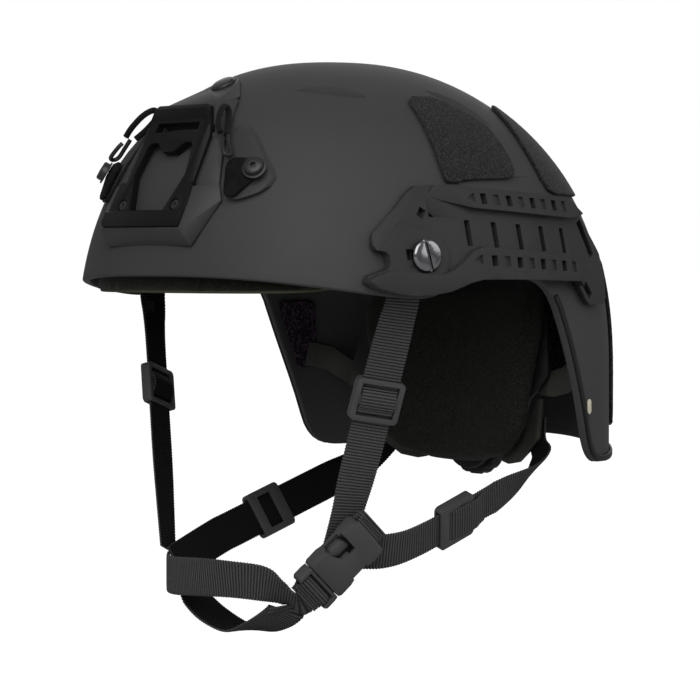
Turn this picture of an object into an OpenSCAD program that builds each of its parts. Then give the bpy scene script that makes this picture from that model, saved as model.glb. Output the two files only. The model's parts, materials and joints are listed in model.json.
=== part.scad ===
// Combat helmet: a composite shell with ear cut-outs, side accessory rails, a front shroud,
// comfort pads, a nape cradle with a dial, and a chinstrap with a side-release buckle.
// +X is the wearer's left, -Y the front and +Z up. The origin is on the mid-plane at brow level.

/* [Shell] */
// Distance from the origin to the foremost point of the shell
front_len = 129; // [126:1:132]
// Distance from the origin to the rearmost point of the shell
rear_len = 133; // [130:1:136]
// Half the shell's width
half_w = 112.5; // [110:0.5:115]
// Height from brow level to the crown
crown_h = 110; // [107:1:113]
// Thickness of the shell's wall
wall = 4; // [3:0.5:5]
// Length of each crown vent
vent_len = 34; // [26:1:40]
// Width of each crown vent
vent_w = 7; // [4:0.5:9]
// Width of the bead along the rear edge
trim_w = 3; // [2:0.5:4]
// How far the bead stands out of the shell
trim_h = 1.6; // [1:0.2:2.4]

/* [Rails] */
// Thickness of a rail's web
rail_web = 3; // [2.4:0.2:4]
// How far the two ridges stand out of the web
ridge_h = 3.4; // [2.4:0.2:4]
// Distance between the long slots of a rail
slot_pitch = 16.6; // [15.6:0.2:17]
// Width of a long slot
slot_w = 3.2; // [2:0.2:3.6]
// Height of a long slot
slot_h = 12; // [9:0.5:13]
// Distance between the small windows in a ridge
window_pitch = 8.3; // [7.7:0.1:8.7]
// Width of a small window
window_w = 3.6; // [2.4:0.2:4]
// Height of a small window
window_h = 5; // [4:0.25:6]
// Diameter of the head of a temple bolt
bolt_head_d = 15.5; // [13:0.5:17]

/* [Shroud] */
// Width of the metal insert at its foot
insert_w = 57; // [53:1:60]
// Width of the metal insert at its top bar
insert_top_w = 35; // [32:1:40]
// Height of the metal insert along its face
insert_h = 64.5; // [61:0.5:67]
// Thickness of the metal insert
insert_t = 4; // [3:0.5:5]
// Width of the window in the insert
window_gap = 39; // [35:1:40]
// Diameter of the screws that hold the insert
insert_screw_d = 5; // [4:0.5:6]
// Diameter of the round bolt over the shroud
top_bolt_d = 12; // [10:0.5:14]
// Diameter of the bolts in the side anchor plates
anchor_bolt_d = 9.5; // [8.5:0.5:11]
// Diameter of the elastic cord of a lanyard
lanyard_d = 3; // [2.5:0.25:3.5]

/* [Patches] */
// Thickness of the loop patches
patch_t = 1.6; // [1.2:0.2:2.4]

/* [Pads] */
// Thickness of the brow pad at its middle
brow_pad_t = 15; // [11:1:18]
// Thickness of the side pads at their middle
side_pad_t = 13; // [9:1:16]
// Thickness of the crown pad at its middle
crown_pad_t = 14; // [10:1:18]
// Thickness of the nape pad at its middle
nape_pad_t = 15; // [11:1:18]
// Half the width of the nape pad
nape_half_w = 66; // [62:1:68]
// Height of the lower edge of the nape pad below the brow
nape_drop = 93; // [90:1:96]
// Thickness of the headband
band_t = 2; // [1.5:0.25:2.5]

/* [Dial] */
// Diameter of the dial
dial_d = 40; // [36:1:44]
// Thickness of the dial
dial_t = 8; // [6:0.5:10]

/* [Chinstrap] */
// Width of the webbing
web_w = 19; // [17:0.5:20]
// Thickness of the webbing
web_t = 1.5; // [1.2:0.1:1.8]
// Outer width of the ladder locks and tri-glides
slider_w = 24; // [23:0.5:27]
// Length of the ladder locks and tri-glides along the webbing
slider_l = 21; // [18:0.5:24]
// Width of the side-release buckle
buckle_w = 24.5; // [24:0.5:28]
// Thickness of the side-release buckle
buckle_t = 8; // [7:0.5:9]
// Length of the buckle's socket
socket_l = 31; // [29:1:36]

/* [Hidden] */

// Clearances
seat = 0.3;        // between a piece and the curved face that carries it
run = 0.35;        // round a piece that slides
turn_fit = 0.08;   // round the spindle of the dial
fit = 0.1;         // round a screw in its hole

// Colours, as the pieces look in daylight
shell_grey = [0.28, 0.28, 0.28];
rail_grey = [0.21, 0.21, 0.21];
loop_grey = [0.17, 0.17, 0.17];
black = [0.05, 0.05, 0.05];
pad_grey = [0.13, 0.13, 0.13];
web_grey = [0.25, 0.25, 0.25];
olive = [0.11, 0.12, 0.09];
cream = [0.72, 0.68, 0.55];
buckle_grey = [0.22, 0.22, 0.22];
steel = [0.75, 0.75, 0.75];

// Form of the shell: superellipses in plan and in profile
waist_z = -46;     // below this height the wall is upright
foot_z = -95;
front_q = 2.56;
side_q = 2.4;
rear_q = 2.29;
plan_p = 2.64;
crown_p = 1.94;
crown_lean = -4.1;

function rise(z, d) = min(max((z - waist_z)/(crown_h - waist_z + d), 0), 1);
function plan_power(t) = plan_p + (crown_p - plan_p)*pow(t, 3);
function shrink(t, q) = pow(max(1 - pow(t, q), 0), 1/q);
function half_len(front, d) = (front ? front_len : rear_len) + d;
function profile_q(front, k) = side_q + ((front ? front_q : rear_q) - side_q)*k;

// Point at the angle u from the front, at height z, on the face d outside the shell
function skin(u, z, d) = let(
    c = cos(u), n = sin(u), front = c > 0,
    t = rise(z, d), s = shrink(t, profile_q(front, c*c)), p = plan_power(t),
    r = pow(pow(abs(c), p) + pow(abs(n), p), -1/p))
    [(half_w + d)*s*r*n, -half_len(front, d)*s*r*c + crown_lean*pow(t, 4), z];

// Distance from the mid-plane of the face d outside the shell, at y and z
function side_x(y, z, d, x = 100, n = 4) = let(
    t = rise(z, d), y2 = y - crown_lean*pow(t, 4), front = y2 < 0, l = half_len(front, d),
    k = pow(y2/l, 2)/(pow(y2/l, 2) + pow(x/half_w, 2)),
    s = shrink(t, profile_q(front, k)), p = plan_power(t),
    nx = (half_w + d)*s*pow(max(1 - pow(abs(y2)/(l*s), p), 0), 1/p))
    n == 0 ? nx : side_x(y, z, d, nx, n - 1);
function on_side(y, z, d) = [side_x(y, z, d), y, z];

// The same for the front face, at x and z
function front_y(x, z, d, y = -100, n = 4) = let(
    t = rise(z, d), l = half_len(true, d),
    k = pow(y/l, 2)/(pow(y/l, 2) + pow(x/half_w, 2)),
    s = shrink(t, profile_q(true, k)), p = plan_power(t),
    ny = -l*s*pow(max(1 - pow(abs(x)/((half_w + d)*s), p), 0), 1/p))
    n == 0 ? ny + crown_lean*pow(t, 4) : front_y(x, z, d, ny, n - 1);
function on_front(x, z, d) = [x, front_y(x, z, d), z];

function unit(v) = v/norm(v);
function mix(a, b, k) = a + (b - a)*k;
function mirrored(pts) = [for (p = pts) [-p.x, p.y, p.z]];

// Outward direction of the shell's face
function side_normal(y, z) = unit(cross(on_side(y + 1, z, 0) - on_side(y - 1, z, 0),
    on_side(y, z + 1, 0) - on_side(y, z - 1, 0)));
function front_normal(x, z) = unit(cross(on_front(x + 1, z, 0) - on_front(x - 1, z, 0),
    on_front(x, z + 1, 0) - on_front(x, z - 1, 0)));

// Points of a cubic curve, without its last point
function curve(a, b, c, d, n) = [for (i = [0:n - 1]) let(k = i/n, m = 1 - k)
    m*m*m*a + 3*m*m*k*b + 3*m*k*k*c + k*k*k*d];

// Smooth path through hand-chosen points
function spline_at(p, i, k) = let(a = p[max(i - 1, 0)], b = p[i], c = p[i + 1],
    e = p[min(i + 2, len(p) - 1)])
    0.5*(2*b + (c - a)*k + (2*a - 5*b + 4*c - e)*k*k + (3*b - a - 3*c + e)*k*k*k);
function spline(p, n) = concat([for (i = [0:len(p) - 2], j = [0:n - 1]) spline_at(p, i, j/n)],
    [p[len(p) - 1]]);

// Mesh of a closed skin between an outer and an inner grid of points
function flat(g) = [for (row = g, p = row) p];
function quads(nr, nc, o, turned) = [for (i = [0:nr - 2], j = [0:nc - 2])
    let(a = o + i*nc + j, b = a + 1, c = a + nc, e = c + 1)
    each turned ? [[a, b, c], [b, e, c]] : [[a, c, b], [b, c, e]]];
function rim(nr, nc) = let(m = nr*nc) concat(
    [for (j = [0:nc - 2]) each [[j, j + 1, m + j], [j + 1, m + j + 1, m + j]]],
    [for (j = [0:nc - 2]) let(a = (nr - 1)*nc + j) each [[a, m + a, a + 1], [a + 1, m + a, m + a + 1]]],
    [for (i = [0:nr - 2]) let(a = i*nc) each [[a, m + a, a + nc], [a + nc, m + a, m + a + nc]]],
    [for (i = [0:nr - 2]) let(a = i*nc + nc - 1) each [[a, a + nc, m + a], [a + nc, m + a + nc, m + a]]]);
module skin_solid(outer, inner) {
    nr = len(outer);
    nc = len(outer[0]);
    polyhedron(concat(flat(outer), flat(inner)),
        concat(quads(nr, nc, 0, false), quads(nr, nc, nr*nc, true), rim(nr, nc)));
}

// Mesh of a tube through rings of points, with flat ends
module ring_solid(rings) {
    nr = len(rings);
    ns = len(rings[0]);
    last = (nr - 1)*ns;
    polyhedron(flat(rings), concat(
        [for (i = [0:nr - 2], j = [0:ns - 1]) let(a = i*ns + j, b = i*ns + (j + 1)%ns)
            each [[a, a + ns, b], [b, a + ns, b + ns]]],
        [for (j = [1:ns - 2]) [0, j, j + 1]],
        [for (j = [1:ns - 2]) [last, last + j + 1, last + j]]));
}

// A band of webbing through points, with the direction of its width at each
function ribbon_ring(p, tangent, across, w, t) = let(
    a = unit(across - tangent*(across*tangent)), n = cross(tangent, a))
    [p - a*w/2 - n*t/2, p + a*w/2 - n*t/2, p + a*w/2 + n*t/2, p - a*w/2 + n*t/2];
module ribbon(path, across, w, t) {
    n = len(path);
    ring_solid([for (i = [0:n - 1]) ribbon_ring(path[i],
        unit(path[min(i + 1, n - 1)] - path[max(i - 1, 0)]), across[i], w, t)]);
}

// A round cord through points
module cord(path, d, sides = 8) {
    n = len(path);
    ring_solid([for (i = [0:n - 1]) let(
        t = unit(path[min(i + 1, n - 1)] - path[max(i - 1, 0)]),
        a = unit(cross(t, [0.31, 0.22, 0.93])), b = cross(t, a))
        [for (j = [0:sides - 1]) path[i] + (a*cos(j*360/sides) + b*sin(j*360/sides))*d/2]]);
}

// Turns +Z to the direction n at the point p
module aim(p, n) {
    translate(p) rotate([0, acos(n.z), atan2(n.y, n.x)]) children();
}
// Places a local frame: its X along a, its Y along b
module frame_at(p, a, b) {
    c = cross(a, b);
    multmatrix([[a.x, b.x, c.x, p.x], [a.y, b.y, c.y, p.y], [a.z, b.z, c.z, p.z], [0, 0, 0, 1]])
        children();
}
module both() {
    children();
    mirror([1, 0, 0]) children();
}
module block(w, h, r) {
    square([w - 2*r, h], center = true);
    square([w, h - 2*r], center = true);
    for (x = [-1, 1], y = [-1, 1]) translate([x*(w/2 - r), y*(h/2 - r)]) circle(r, $fn = 24);
}

// Solid dome inside the face d outside the shell
columns = 72;
dome_steps = [0, 6, 12, 18, 26, 34, 43, 51, 58, 64.5, 70.5, 76, 81, 85.5];
module dome(d, foot) {
    top = crown_h + d;
    heights = concat([foot, (foot + waist_z)/2],
        [for (f = dome_steps) waist_z + (top - waist_z)*pow(sin(f), 2/side_q)]);
    nr = len(heights);
    pts = concat([for (z = heights, i = [0:columns - 1]) skin(i*360/columns, z, d)],
        [[0, crown_lean, top], [0, 0, foot]]);
    polyhedron(pts, concat(
        [for (r = [0:nr - 2], i = [0:columns - 1]) let(a = r*columns + i, b = r*columns + (i + 1)%columns)
            each [[a, a + columns, b], [b, a + columns, b + columns]]],
        [for (i = [0:columns - 1]) [(nr - 1)*columns + i, nr*columns, (nr - 1)*columns + (i + 1)%columns]],
        [for (i = [0:columns - 1]) [i, (i + 1)%columns, nr*columns + 1]]));
}

// Edge of the shell in side view, from the brim back to the nape
temple_low = -5.8;
ear_top = 3;
lobe_foot = -88;
nape_start = 82;
function nape_edge(y) = lobe_foot + 16*pow((y - nape_start)/68, 2);
ear_rear_edge = concat(
    curve([22, ear_top], [34, ear_top], [40, -6], [43, -14], 6),
    curve([43, -14], [47, -23], [60, -54], [65, -72], 6),
    curve([65, -72], [68, -83], [74, lobe_foot], [nape_start, lobe_foot], 6));
edge_line = concat(
    curve([-150, 7.5], [-110, 3.5], [-70, temple_low], [-46, temple_low], 10),
    curve([-46, temple_low], [-34, temple_low], [-28, ear_top], [-14, ear_top], 6),
    ear_rear_edge,
    [for (y = [nape_start:8:150]) [y, nape_edge(y)]]);

// Crown vents, front and rear, on the wearer's left
vent_front = [50, -52];
vent_front_turn = 48;
vent_rear = [69, 14];
vent_rear_turn = 62;
module vent_cut(at, turn) {
    top = crown_h;
    translate([at.x, at.y, 60]) rotate([0, 0, turn]) for (side = [-1, 1]) hull() {
        cylinder(h = top, d = vent_w, $fn = 20);
        translate([side*(vent_len/2 - 1), 0, 0]) cylinder(h = top, r = 1, $fn = 12);
    }
}

// Temple bolts hold the rails and the front straps
bolt_y = -45.8;
bolt_z = 13.9;
strap_y = -48.5;   // middle of the webbing behind the bolt
bolt_shank_d = 6;
bolt_n = let(n = side_normal(bolt_y, bolt_z)) unit([n.x, n.y, 0]);
bolt_at = on_side(bolt_y, bolt_z, 0);

// Plugs set into the rear lobes from outside
plug_at = on_side(68.2, -60, 0);
plug_n = side_normal(68.2, -60);
plug_w = 2.8;
plug_h = 6.4;
plug_deep = 2.2;
module oval(grow) {
    translate([0, -(plug_h - plug_w)/2]) circle(d = plug_w + 2*grow, $fn = 20);
    translate([0, (plug_h - plug_w)/2]) circle(d = plug_w + 2*grow, $fn = 20);
    square([plug_w + 2*grow, plug_h - plug_w], center = true);
}

module shell() {
    color(shell_grey) difference() {
        dome(0, foot_z);
        dome(-wall, foot_z - 1);
        rotate([90, 0, 90]) linear_extrude(2*half_w + 20, center = true)
            polygon(concat(edge_line, [[150, foot_z - 5], [-150, foot_z - 5]]));
        both() {
            vent_cut(vent_front, vent_front_turn);
            vent_cut(vent_rear, vent_rear_turn);
            aim(bolt_at - bolt_n*20, bolt_n) cylinder(h = 40, d = bolt_shank_d + 2*seat, $fn = 24);
            aim(plug_at - plug_n*(plug_deep + 0.2), plug_n) rotate([0, 0, 90]) linear_extrude(20) oval(fit);
        }
    }
}

// Bead on the outer corner of the rear edge, round the nape
trim_side = [for (p = ear_rear_edge) if (p.x > 36) p];
trim_inward = [for (i = [0:len(trim_side) - 1]) let(
    a = trim_side[max(i - 1, 0)], b = trim_side[min(i + 1, len(trim_side) - 1)], t = unit(b - a))
    trim_side[i] + [-t.y, t.x]*trim_w];
function trim_ring(p, q) = [on_side(p.x, p.y, seat), on_side(q.x, q.y, seat),
    on_side(q.x, q.y, trim_h), on_side(p.x, p.y, trim_h)];
nape_angles = [for (u = [127.5:2.5:180]) u];
function nape_ring(u) = let(z = nape_edge(skin(u, foot_z, 0).y))
    [skin(u, z, seat), skin(u, z + trim_w, seat), skin(u, z + trim_w, trim_h), skin(u, z, trim_h)];
trim_left = concat([for (i = [0:len(trim_side) - 1]) trim_ring(trim_side[i], trim_inward[i])],
    [for (u = nape_angles) nape_ring(u)]);
module rear_edge_trim() {
    n = len(trim_left);
    color(black) ring_solid(concat(trim_left, [for (i = [1:n]) mirrored(trim_left[n - i])]));
}

// Rails: one revolved section, thickened along two ridges, cut to its outline in side view
rail_y = 1;        // where the rail's curve stands furthest out
rail_r = 238;      // radius of that curve in plan
rail_off = 2.6;    // gap behind the rail at its middle
rail_levels = [-12, 3, 17, 33, 52];
rail_axis_x = side_x(rail_y, 0, 0) - rail_r;
rail_outline = [[-77, 1.6], [-75.4, 4.6], [-69, 6.8], [-65.8, 8.2], [-64.8, 10.4], [-65.2, 14], [-66.8, 15.6],
    [-70.4, 16.4], [-71, 19], [-69.6, 23.9], [-54.1, 37.4], [-48.4, 42.8], [-43, 46.4], [-30, 47.2],
    [-17, 46.4], [56, 42.4], [66, 35], [81, 15], [83.4, 3], [83, -7], [80.4, -9.6], [66, -10], [63.4, -8.4],
    [55, 1.6], [-8, 3], [-16, 2.8], [-24, 1.2], [-36, -2.8], [-46, -4.4], [-56.2, -4.8], [-65.2, -3.4],
    [-73.3, -1]];
upper_ridge = [[-38.5, 42.4], [-32.3, 40], [-24, 38.2], [-15.6, 36.4], [0, 35.4], [52.6, 32.3], [62, 33.2],
    [66, 34.6], [72, 38], [72, 52], [-30, 52]];
lower_ridge = [[-84, 0], [-72, 5.2], [-67, 6.9], [-46, 5.4], [-39, 5.2], [-33.3, 7.3], [-27, 11], [-20.6, 16.2],
    [-13.7, 18.2], [38.4, 14.4], [53, 10.8], [58.5, 6], [57, -1], [55, -14], [-84, -14]];
boss_d = 25;
bolt_boss = [[-72, 4], [-72, 18], [-60, 34], [-54.7, 29.1], [-39.6, 23.2], [-42, 4]];
ramp_from = -39;   // the upper ridge rises from here to its full height
ramp_turn = 21;
bevel_turn = 24;   // slope of the face along the rail's upper front edge
slot_first = -19;
slot_z = 24.6;
window_first = -8.3;
upper_window_z = 40.8;
lower_window_z = 11.6;
window_fall = -0.05; // the rows of windows sink towards the rear
windows = 8;
blind = 1.2;         // depth of a window that isn't cut through

function rail_x(y, z, d) = rail_axis_x + sqrt(pow(rail_r + side_x(rail_y, z, rail_off + d)
    - side_x(rail_y, 0, 0), 2) - pow(y - rail_y, 2));
boss_h = 1.2;
bolt_seat = (rail_x(bolt_y, bolt_z, rail_web + boss_h) - bolt_at.x)/bolt_n.x;

module rail_layer(from, to) {
    translate([rail_axis_x, rail_y, 0]) rotate([0, 0, 90]) rotate_extrude($fn = 200)
        polygon(concat(
            [for (z = rail_levels) [side_x(rail_y, z, rail_off + from) - rail_axis_x, z]],
            [for (i = [len(rail_levels) - 1:-1:0])
                [side_x(rail_y, rail_levels[i], rail_off + to) - rail_axis_x, rail_levels[i]]]));
}
module side_cut() {
    translate([half_w - 40, 0, 0]) rotate([90, 0, 90]) linear_extrude(60) children();
}
module side_slot(y, z, w, h, turn = 0) {
    translate([half_w - 40, y, z]) rotate([turn, 0, 0]) translate([0, -w/2, -h/2]) cube([60, w, h]);
}
module boss_outline() {
    polygon(bolt_boss);
    translate([bolt_y, bolt_z]) circle(d = boss_d, $fn = 64);
}
function rail_spot(y, z) = [rail_x(y, z, rail_web), y, z];
bevel_a = unit(rail_spot(-52, 33.3) - rail_spot(-59, 26.6));
bevel_up = unit(rail_spot(-55.5, 29.9) - rail_spot(-52.2, 26.4));
bevel_b = unit((bevel_up - bevel_a*(bevel_up*bevel_a))*cos(bevel_turn) - cross(bevel_a, bevel_up)*sin(bevel_turn));
module rail() {
    color(rail_grey) difference() {
        intersection() {
            rail_layer(0, rail_web + ridge_h);
            side_cut() polygon(rail_outline);
        }
        intersection() {
            rail_layer(rail_web, rail_web + ridge_h + 2);
            side_cut() difference() {
                translate([-90, -20]) square([190, 80]);
                polygon(upper_ridge);
                polygon(lower_ridge);
                boss_outline();
            }
        }
        intersection() {
            rail_layer(rail_web + boss_h, rail_web + ridge_h + 2);
            side_cut() difference() {
                boss_outline();
                polygon(lower_ridge);
            }
        }
        translate([rail_x(ramp_from, 44, rail_web), ramp_from, 32]) rotate([0, 0, -ramp_turn]) cube([20, 40, 30]);
        frame_at(rail_spot(-55.5, 29.9), bevel_a, bevel_b) translate([-40, 0, 0]) cube([80, 16, 10]);
        aim(bolt_at + bolt_n*bolt_seat, bolt_n) cylinder(h = 12, d = bolt_head_d + 1, $fn = 48);
        for (i = [0:4]) side_slot(slot_first + i*slot_pitch, slot_z + i*slot_pitch*window_fall, slot_w, slot_h);
        intersection() {
            rail_layer(rail_web + ridge_h - blind, rail_web + ridge_h + 1);
            side_cut() for (at = [[-15.8, upper_window_z + 0.4], [-17.8, lower_window_z + 0.5]]) translate(at)
                polygon([[-2.8, 0], [2, 2.4], [2, -2.4]]);
        }
        for (i = [0:windows - 1], row = [upper_window_z, lower_window_z]) let(
            y = window_first + i*window_pitch, z = row + i*window_pitch*window_fall) {
            if (i % 2 == 0) side_slot(y, z, window_w, window_h);
            else intersection() {
                rail_layer(rail_web + ridge_h - blind, rail_web + ridge_h + 1);
                side_slot(y, z, window_w, window_h);
            }
        }
        side_slot(-43.9, 33.8, 3.6, 4.8, -38);
        side_slot(-54.4, 14.4, 4, 5);
        side_slot(68.6, 22.4, 4.6, 18.6, 24);
        side_slot(64.6, -2.8, 4, 8, 40);
        aim(bolt_at, bolt_n) cylinder(h = 30, d = bolt_shank_d + 2*fit, $fn = 32);
    }
}
module rail_left() rail();
module rail_right() mirror([1, 0, 0]) rail();

// Bolt with a wide, slightly domed, slotted head
module temple_bolt() {
    head_h = 3;
    bolt_inner = bolt_seat + wall + nut_gap + nut_t + 0.8;
    aim(bolt_at + bolt_n*(bolt_seat + fit), bolt_n) difference() {
        union() {
            rotate_extrude($fn = 64) polygon(concat([[0, 0], [bolt_head_d/2, 0]],
                [for (a = [0:15:90]) [(bolt_head_d/2)*(0.72 + 0.28*cos(a)), 1.2 + (head_h - 1.2)*sin(a)]],
                [[0, head_h + 0.3]]));
            translate([0, 0, -bolt_inner]) cylinder(h = bolt_inner + 1, d = bolt_shank_d, $fn = 32);
        }
        rotate([0, 0, 16]) translate([-bolt_head_d, -0.8, head_h - 1.4]) cube([2*bolt_head_d, 1.6, 4]);
    }
}
module temple_bolts() color(steel) both() temple_bolt();

// Plate inside each temple: it takes the bolt and carries the front strap
nut_t = 2.2;
nut_w = 20;
nut_h = 24;
nut_gap = 2.4;
module temple_nuts() {
    color(black) both() aim(bolt_at - bolt_n*(wall + nut_gap + nut_t), bolt_n) rotate([0, 0, 90])
        translate([strap_y - bolt_y, -7, 0]) difference() {
            linear_extrude(nut_t) block(nut_w, nut_h, 5);
            translate([bolt_y - strap_y, 7, -1]) cylinder(h = 5, d = bolt_shank_d + 2*fit, $fn = 32);
        }
}

// Shroud: a moulded frame on the front, with a metal insert on a flat face that leans back
face_lean = 26;
face_y = -125;
face_z = 35.5;
insert_foot = -8.5;
window_foot = 0;
window_top = 36;
bar_from = insert_h + insert_foot - 8.4;
bar_to = insert_h + insert_foot;
screw_x = window_gap/2 + 0.3;
screw_y = 3;
catch_w = 32;      // opening under the top bar
catch_h = 5;
arm_slope = 22;
top_bolt_z = 94.5;
module on_face() translate([0, face_y, face_z]) rotate([90 - face_lean, 0, 0]) children();
module half_insert(grow) {
    polygon([[0, insert_foot], [insert_w/2, insert_foot], [insert_w/2, 4], [insert_w/2 - 1, 13],
        [insert_w/2 - 3, 16], [insert_w/2 - 3.5, bar_from - 7], [insert_top_w/2 + 5, bar_from],
        [insert_top_w/2, bar_to], [0, bar_to]]
        + [for (i = [0:8]) [i == 0 || i == 8 ? 0 : grow, i < 2 ? -grow : i > 6 ? grow : 0]]);
}
module insert_outline(grow = 0) {
    half_insert(grow);
    mirror([1, 0]) half_insert(grow);
}
module insert_window() {
    w = window_gap/2;
    half = [[w - 7, window_foot], [w, 19], [w - 2.6, window_top - 2], [w - 4.6, window_top], [10, window_top],
        [4, window_top - 5]];
    polygon(concat(half, [for (i = [5:-1:0]) [-half[i].x, half[i].y]]));
}
module shroud_insert() {
    bar = [[bar_from - 0.4, -insert_t], [bar_from, -1], [bar_from + 1, 0.6], [bar_to - 3, 2.4],
        [bar_to - 0.6, 1.6], [bar_to, 0], [bar_to, -insert_t]];
    lip = [[insert_foot, -insert_t], [insert_foot, 0.6], [insert_foot + 1.2, 1.8], [-1.6, 1.8],
        [window_foot, 0], [window_foot, -insert_t]];
    color(black) on_face() difference() {
        union() {
            translate([0, 0, -insert_t]) linear_extrude(insert_t) difference() {
                insert_outline();
                insert_window();
            }
            intersection() {
                rotate([90, 0, 90]) linear_extrude(insert_w + 2, center = true) polygon(bar);
                translate([0, 0, -insert_t]) linear_extrude(20) insert_outline();
            }
            rotate([90, 0, 90]) linear_extrude(insert_w, center = true) polygon(lip);
        }
        translate([-catch_w/2, bar_from - 1 - catch_h, -10]) cube([catch_w, catch_h, 20]);
        for (s = [-1, 1]) translate([s*21.5, 15, 0]) rotate([0, s*arm_slope, 0])
            translate([s > 0 ? 0 : -12, 0, 0]) cube([12, bar_from - 17, 8]);
        for (x = [-screw_x, screw_x]) translate([x, screw_y, 0]) {
            translate([0, 0, -10]) cylinder(h = 20, d = insert_screw_d - 1.6, $fn = 32);
            translate([0, 0, -1.8]) cylinder(h = 20, d = insert_screw_d + 1, $fn = 32);
        }
    }
}
module shroud_screws() {
    color(black) on_face() for (x = [-screw_x, screw_x]) translate([x, screw_y, 0]) difference() {
        union() {
            translate([0, 0, -1.8]) cylinder(h = 1.5, d = insert_screw_d, $fn = 32);
            translate([0, 0, -insert_t - 1.2]) cylinder(h = insert_t, d = insert_screw_d - 1.6 - 2*fit, $fn = 32);
        }
        translate([0, 0, -1.2]) cylinder(h = 2, d = 2.2, $fn = 6);
    }
}

// Moulded frame: facets run from the flat face down to the shell
frame_edge = [[31.5, 18.8], [42.5, 39.8], [38.5, 47.4], [31, 66], [25, 79], [20.5, 88]];
module bead(p) translate(p) cube(0.5, center = true);
module shell_beads(from, to) for (i = [from:to], s = [-1, 1])
    bead([s*frame_edge[i].x, front_y(frame_edge[i].x, frame_edge[i].y, 1.5), frame_edge[i].y]);
module face_slab(w1, y1, w2, y2, z, h) {
    on_face() hull() {
        translate([-w1/2, y1, z - h]) cube([w1, 0.5, h]);
        translate([-w2/2, y2, z - h]) cube([w2, 0.5, h]);
    }
}
module shroud_frame() {
    bolt_face = front_normal(0, top_bolt_z);
    bolt_foot = on_front(0, top_bolt_z, 0);
    color(rail_grey) difference() {
        union() {
            hull() {
                face_slab(59.5, -10, 59.5, 12, -0.6, 8);
                shell_beads(0, 2);
            }
            hull() {
                face_slab(58, 12, 53, 40, -3, 5);
                shell_beads(2, 4);
            }
            hull() {
                face_slab(53, 40, 38, bar_to + 1, -2.6, 5);
                shell_beads(3, 5);
            }
            hull() {
                face_slab(58, insert_foot - 2, 59, insert_foot - 1, -1.2, 6);
                shell_beads(0, 0);
            }
            hull() {
                face_slab(38, bar_to, 36, bar_to + 1.5, -3, 4);
                for (s = [-1, 1]) bead([s*18, front_y(18, 90, 1), 90]);
                aim(bolt_foot, bolt_face) cylinder(h = 1.7, d = top_bolt_d + 4, $fn = 32);
            }
        }
        dome(seat, 0);
        on_face() {
            translate([0, 0, -insert_t - 0.1]) linear_extrude(30) insert_outline(0.15);
            translate([0, 0, -5.6]) linear_extrude(30) insert_window();
            translate([-catch_w/2, bar_from - 1 - catch_h, -14]) cube([catch_w, catch_h, 20]);
            for (x = [-screw_x, screw_x]) translate([x, screw_y, -insert_t - 2])
                cylinder(h = 10, d = insert_screw_d - 1.4, $fn = 24);
        }
        aim(bolt_foot, bolt_face) translate([0, 0, -5]) cylinder(h = 20, d = 5.2, $fn = 24);
        aim(bolt_foot, bolt_face) translate([0, 0, 1.8]) cylinder(h = 20, d = top_bolt_d + 1, $fn = 32);
        for (s = [-1, 1]) hull() for (z = [73, 80])
            translate([s*24.5, front_y(24.5, z, 3.4), z]) rotate([70, 0, s*20]) cylinder(h = 9, d = 3.4, $fn = 16);
    }
}
module shroud_top_bolt() {
    color(rail_grey) aim(on_front(0, top_bolt_z, 0), front_normal(0, top_bolt_z)) {
        rotate_extrude($fn = 48) polygon([[0, 2], [top_bolt_d/2, 2], [top_bolt_d/2, 3.2],
            [top_bolt_d/2 - 0.8, 4], [0, 4.4]]);
        translate([0, 0, 0.4]) cylinder(h = 2, d = 5, $fn = 24);
    }
}

// Patches on the shell: each row gives a height and where the patch starts and ends there
module patch(rows, spot, low, high, cols) {
    skin_solid([for (r = rows) [for (j = [0:cols]) spot(mix(r[1], r[2], j/cols), r[0], high)]],
        [for (r = rows) [for (j = [0:cols]) spot(mix(r[1], r[2], j/cols), r[0], low)]]);
}
side_spot = function(y, z, d) on_side(y, z, d);
front_spot = function(x, z, d) on_front(x, z, d);
round_spot = function(u, z, d) skin(u, z, d);

anchor_rows = [[40, 48.5, 51], [41.2, 47.4, 55], [43.2, 46, 59.5], [46, 44.4, 61.8], [50, 42.6, 62.2],
    [54, 40.8, 59.8], [58.4, 38.6, 55.6], [65, 35.2, 49.5], [71, 32.8, 43], [74, 33, 38.5], [75, 34, 36.5]];
anchor_t = 2.4;
tab_t = 2;
anchor_x = 56.2;
anchor_z = 54.5;
module anchor_plate() color(shell_grey) patch(anchor_rows, front_spot, seat, anchor_t, 4);
module anchor_plate_left() anchor_plate();
module anchor_plate_right() mirror([1, 0, 0]) anchor_plate();
module anchor_bolts() {
    color(rail_grey) both() aim(on_front(anchor_x, anchor_z, anchor_t + tab_t + 2*seat + 0.2), front_normal(anchor_x, anchor_z))
        difference() {
            rotate_extrude($fn = 48) polygon([[0, 0], [anchor_bolt_d/2 + 1.1, 0],
                [anchor_bolt_d/2 + 1.1, 0.8], [anchor_bolt_d/2, 0.8], [anchor_bolt_d/2, 3],
                [anchor_bolt_d/2 - 0.7, 3.6], [0, 3.8]]);
            translate([0, 0, 2]) cylinder(h = 3, d = 2.6, $fn = 6);
        }
}

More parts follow.
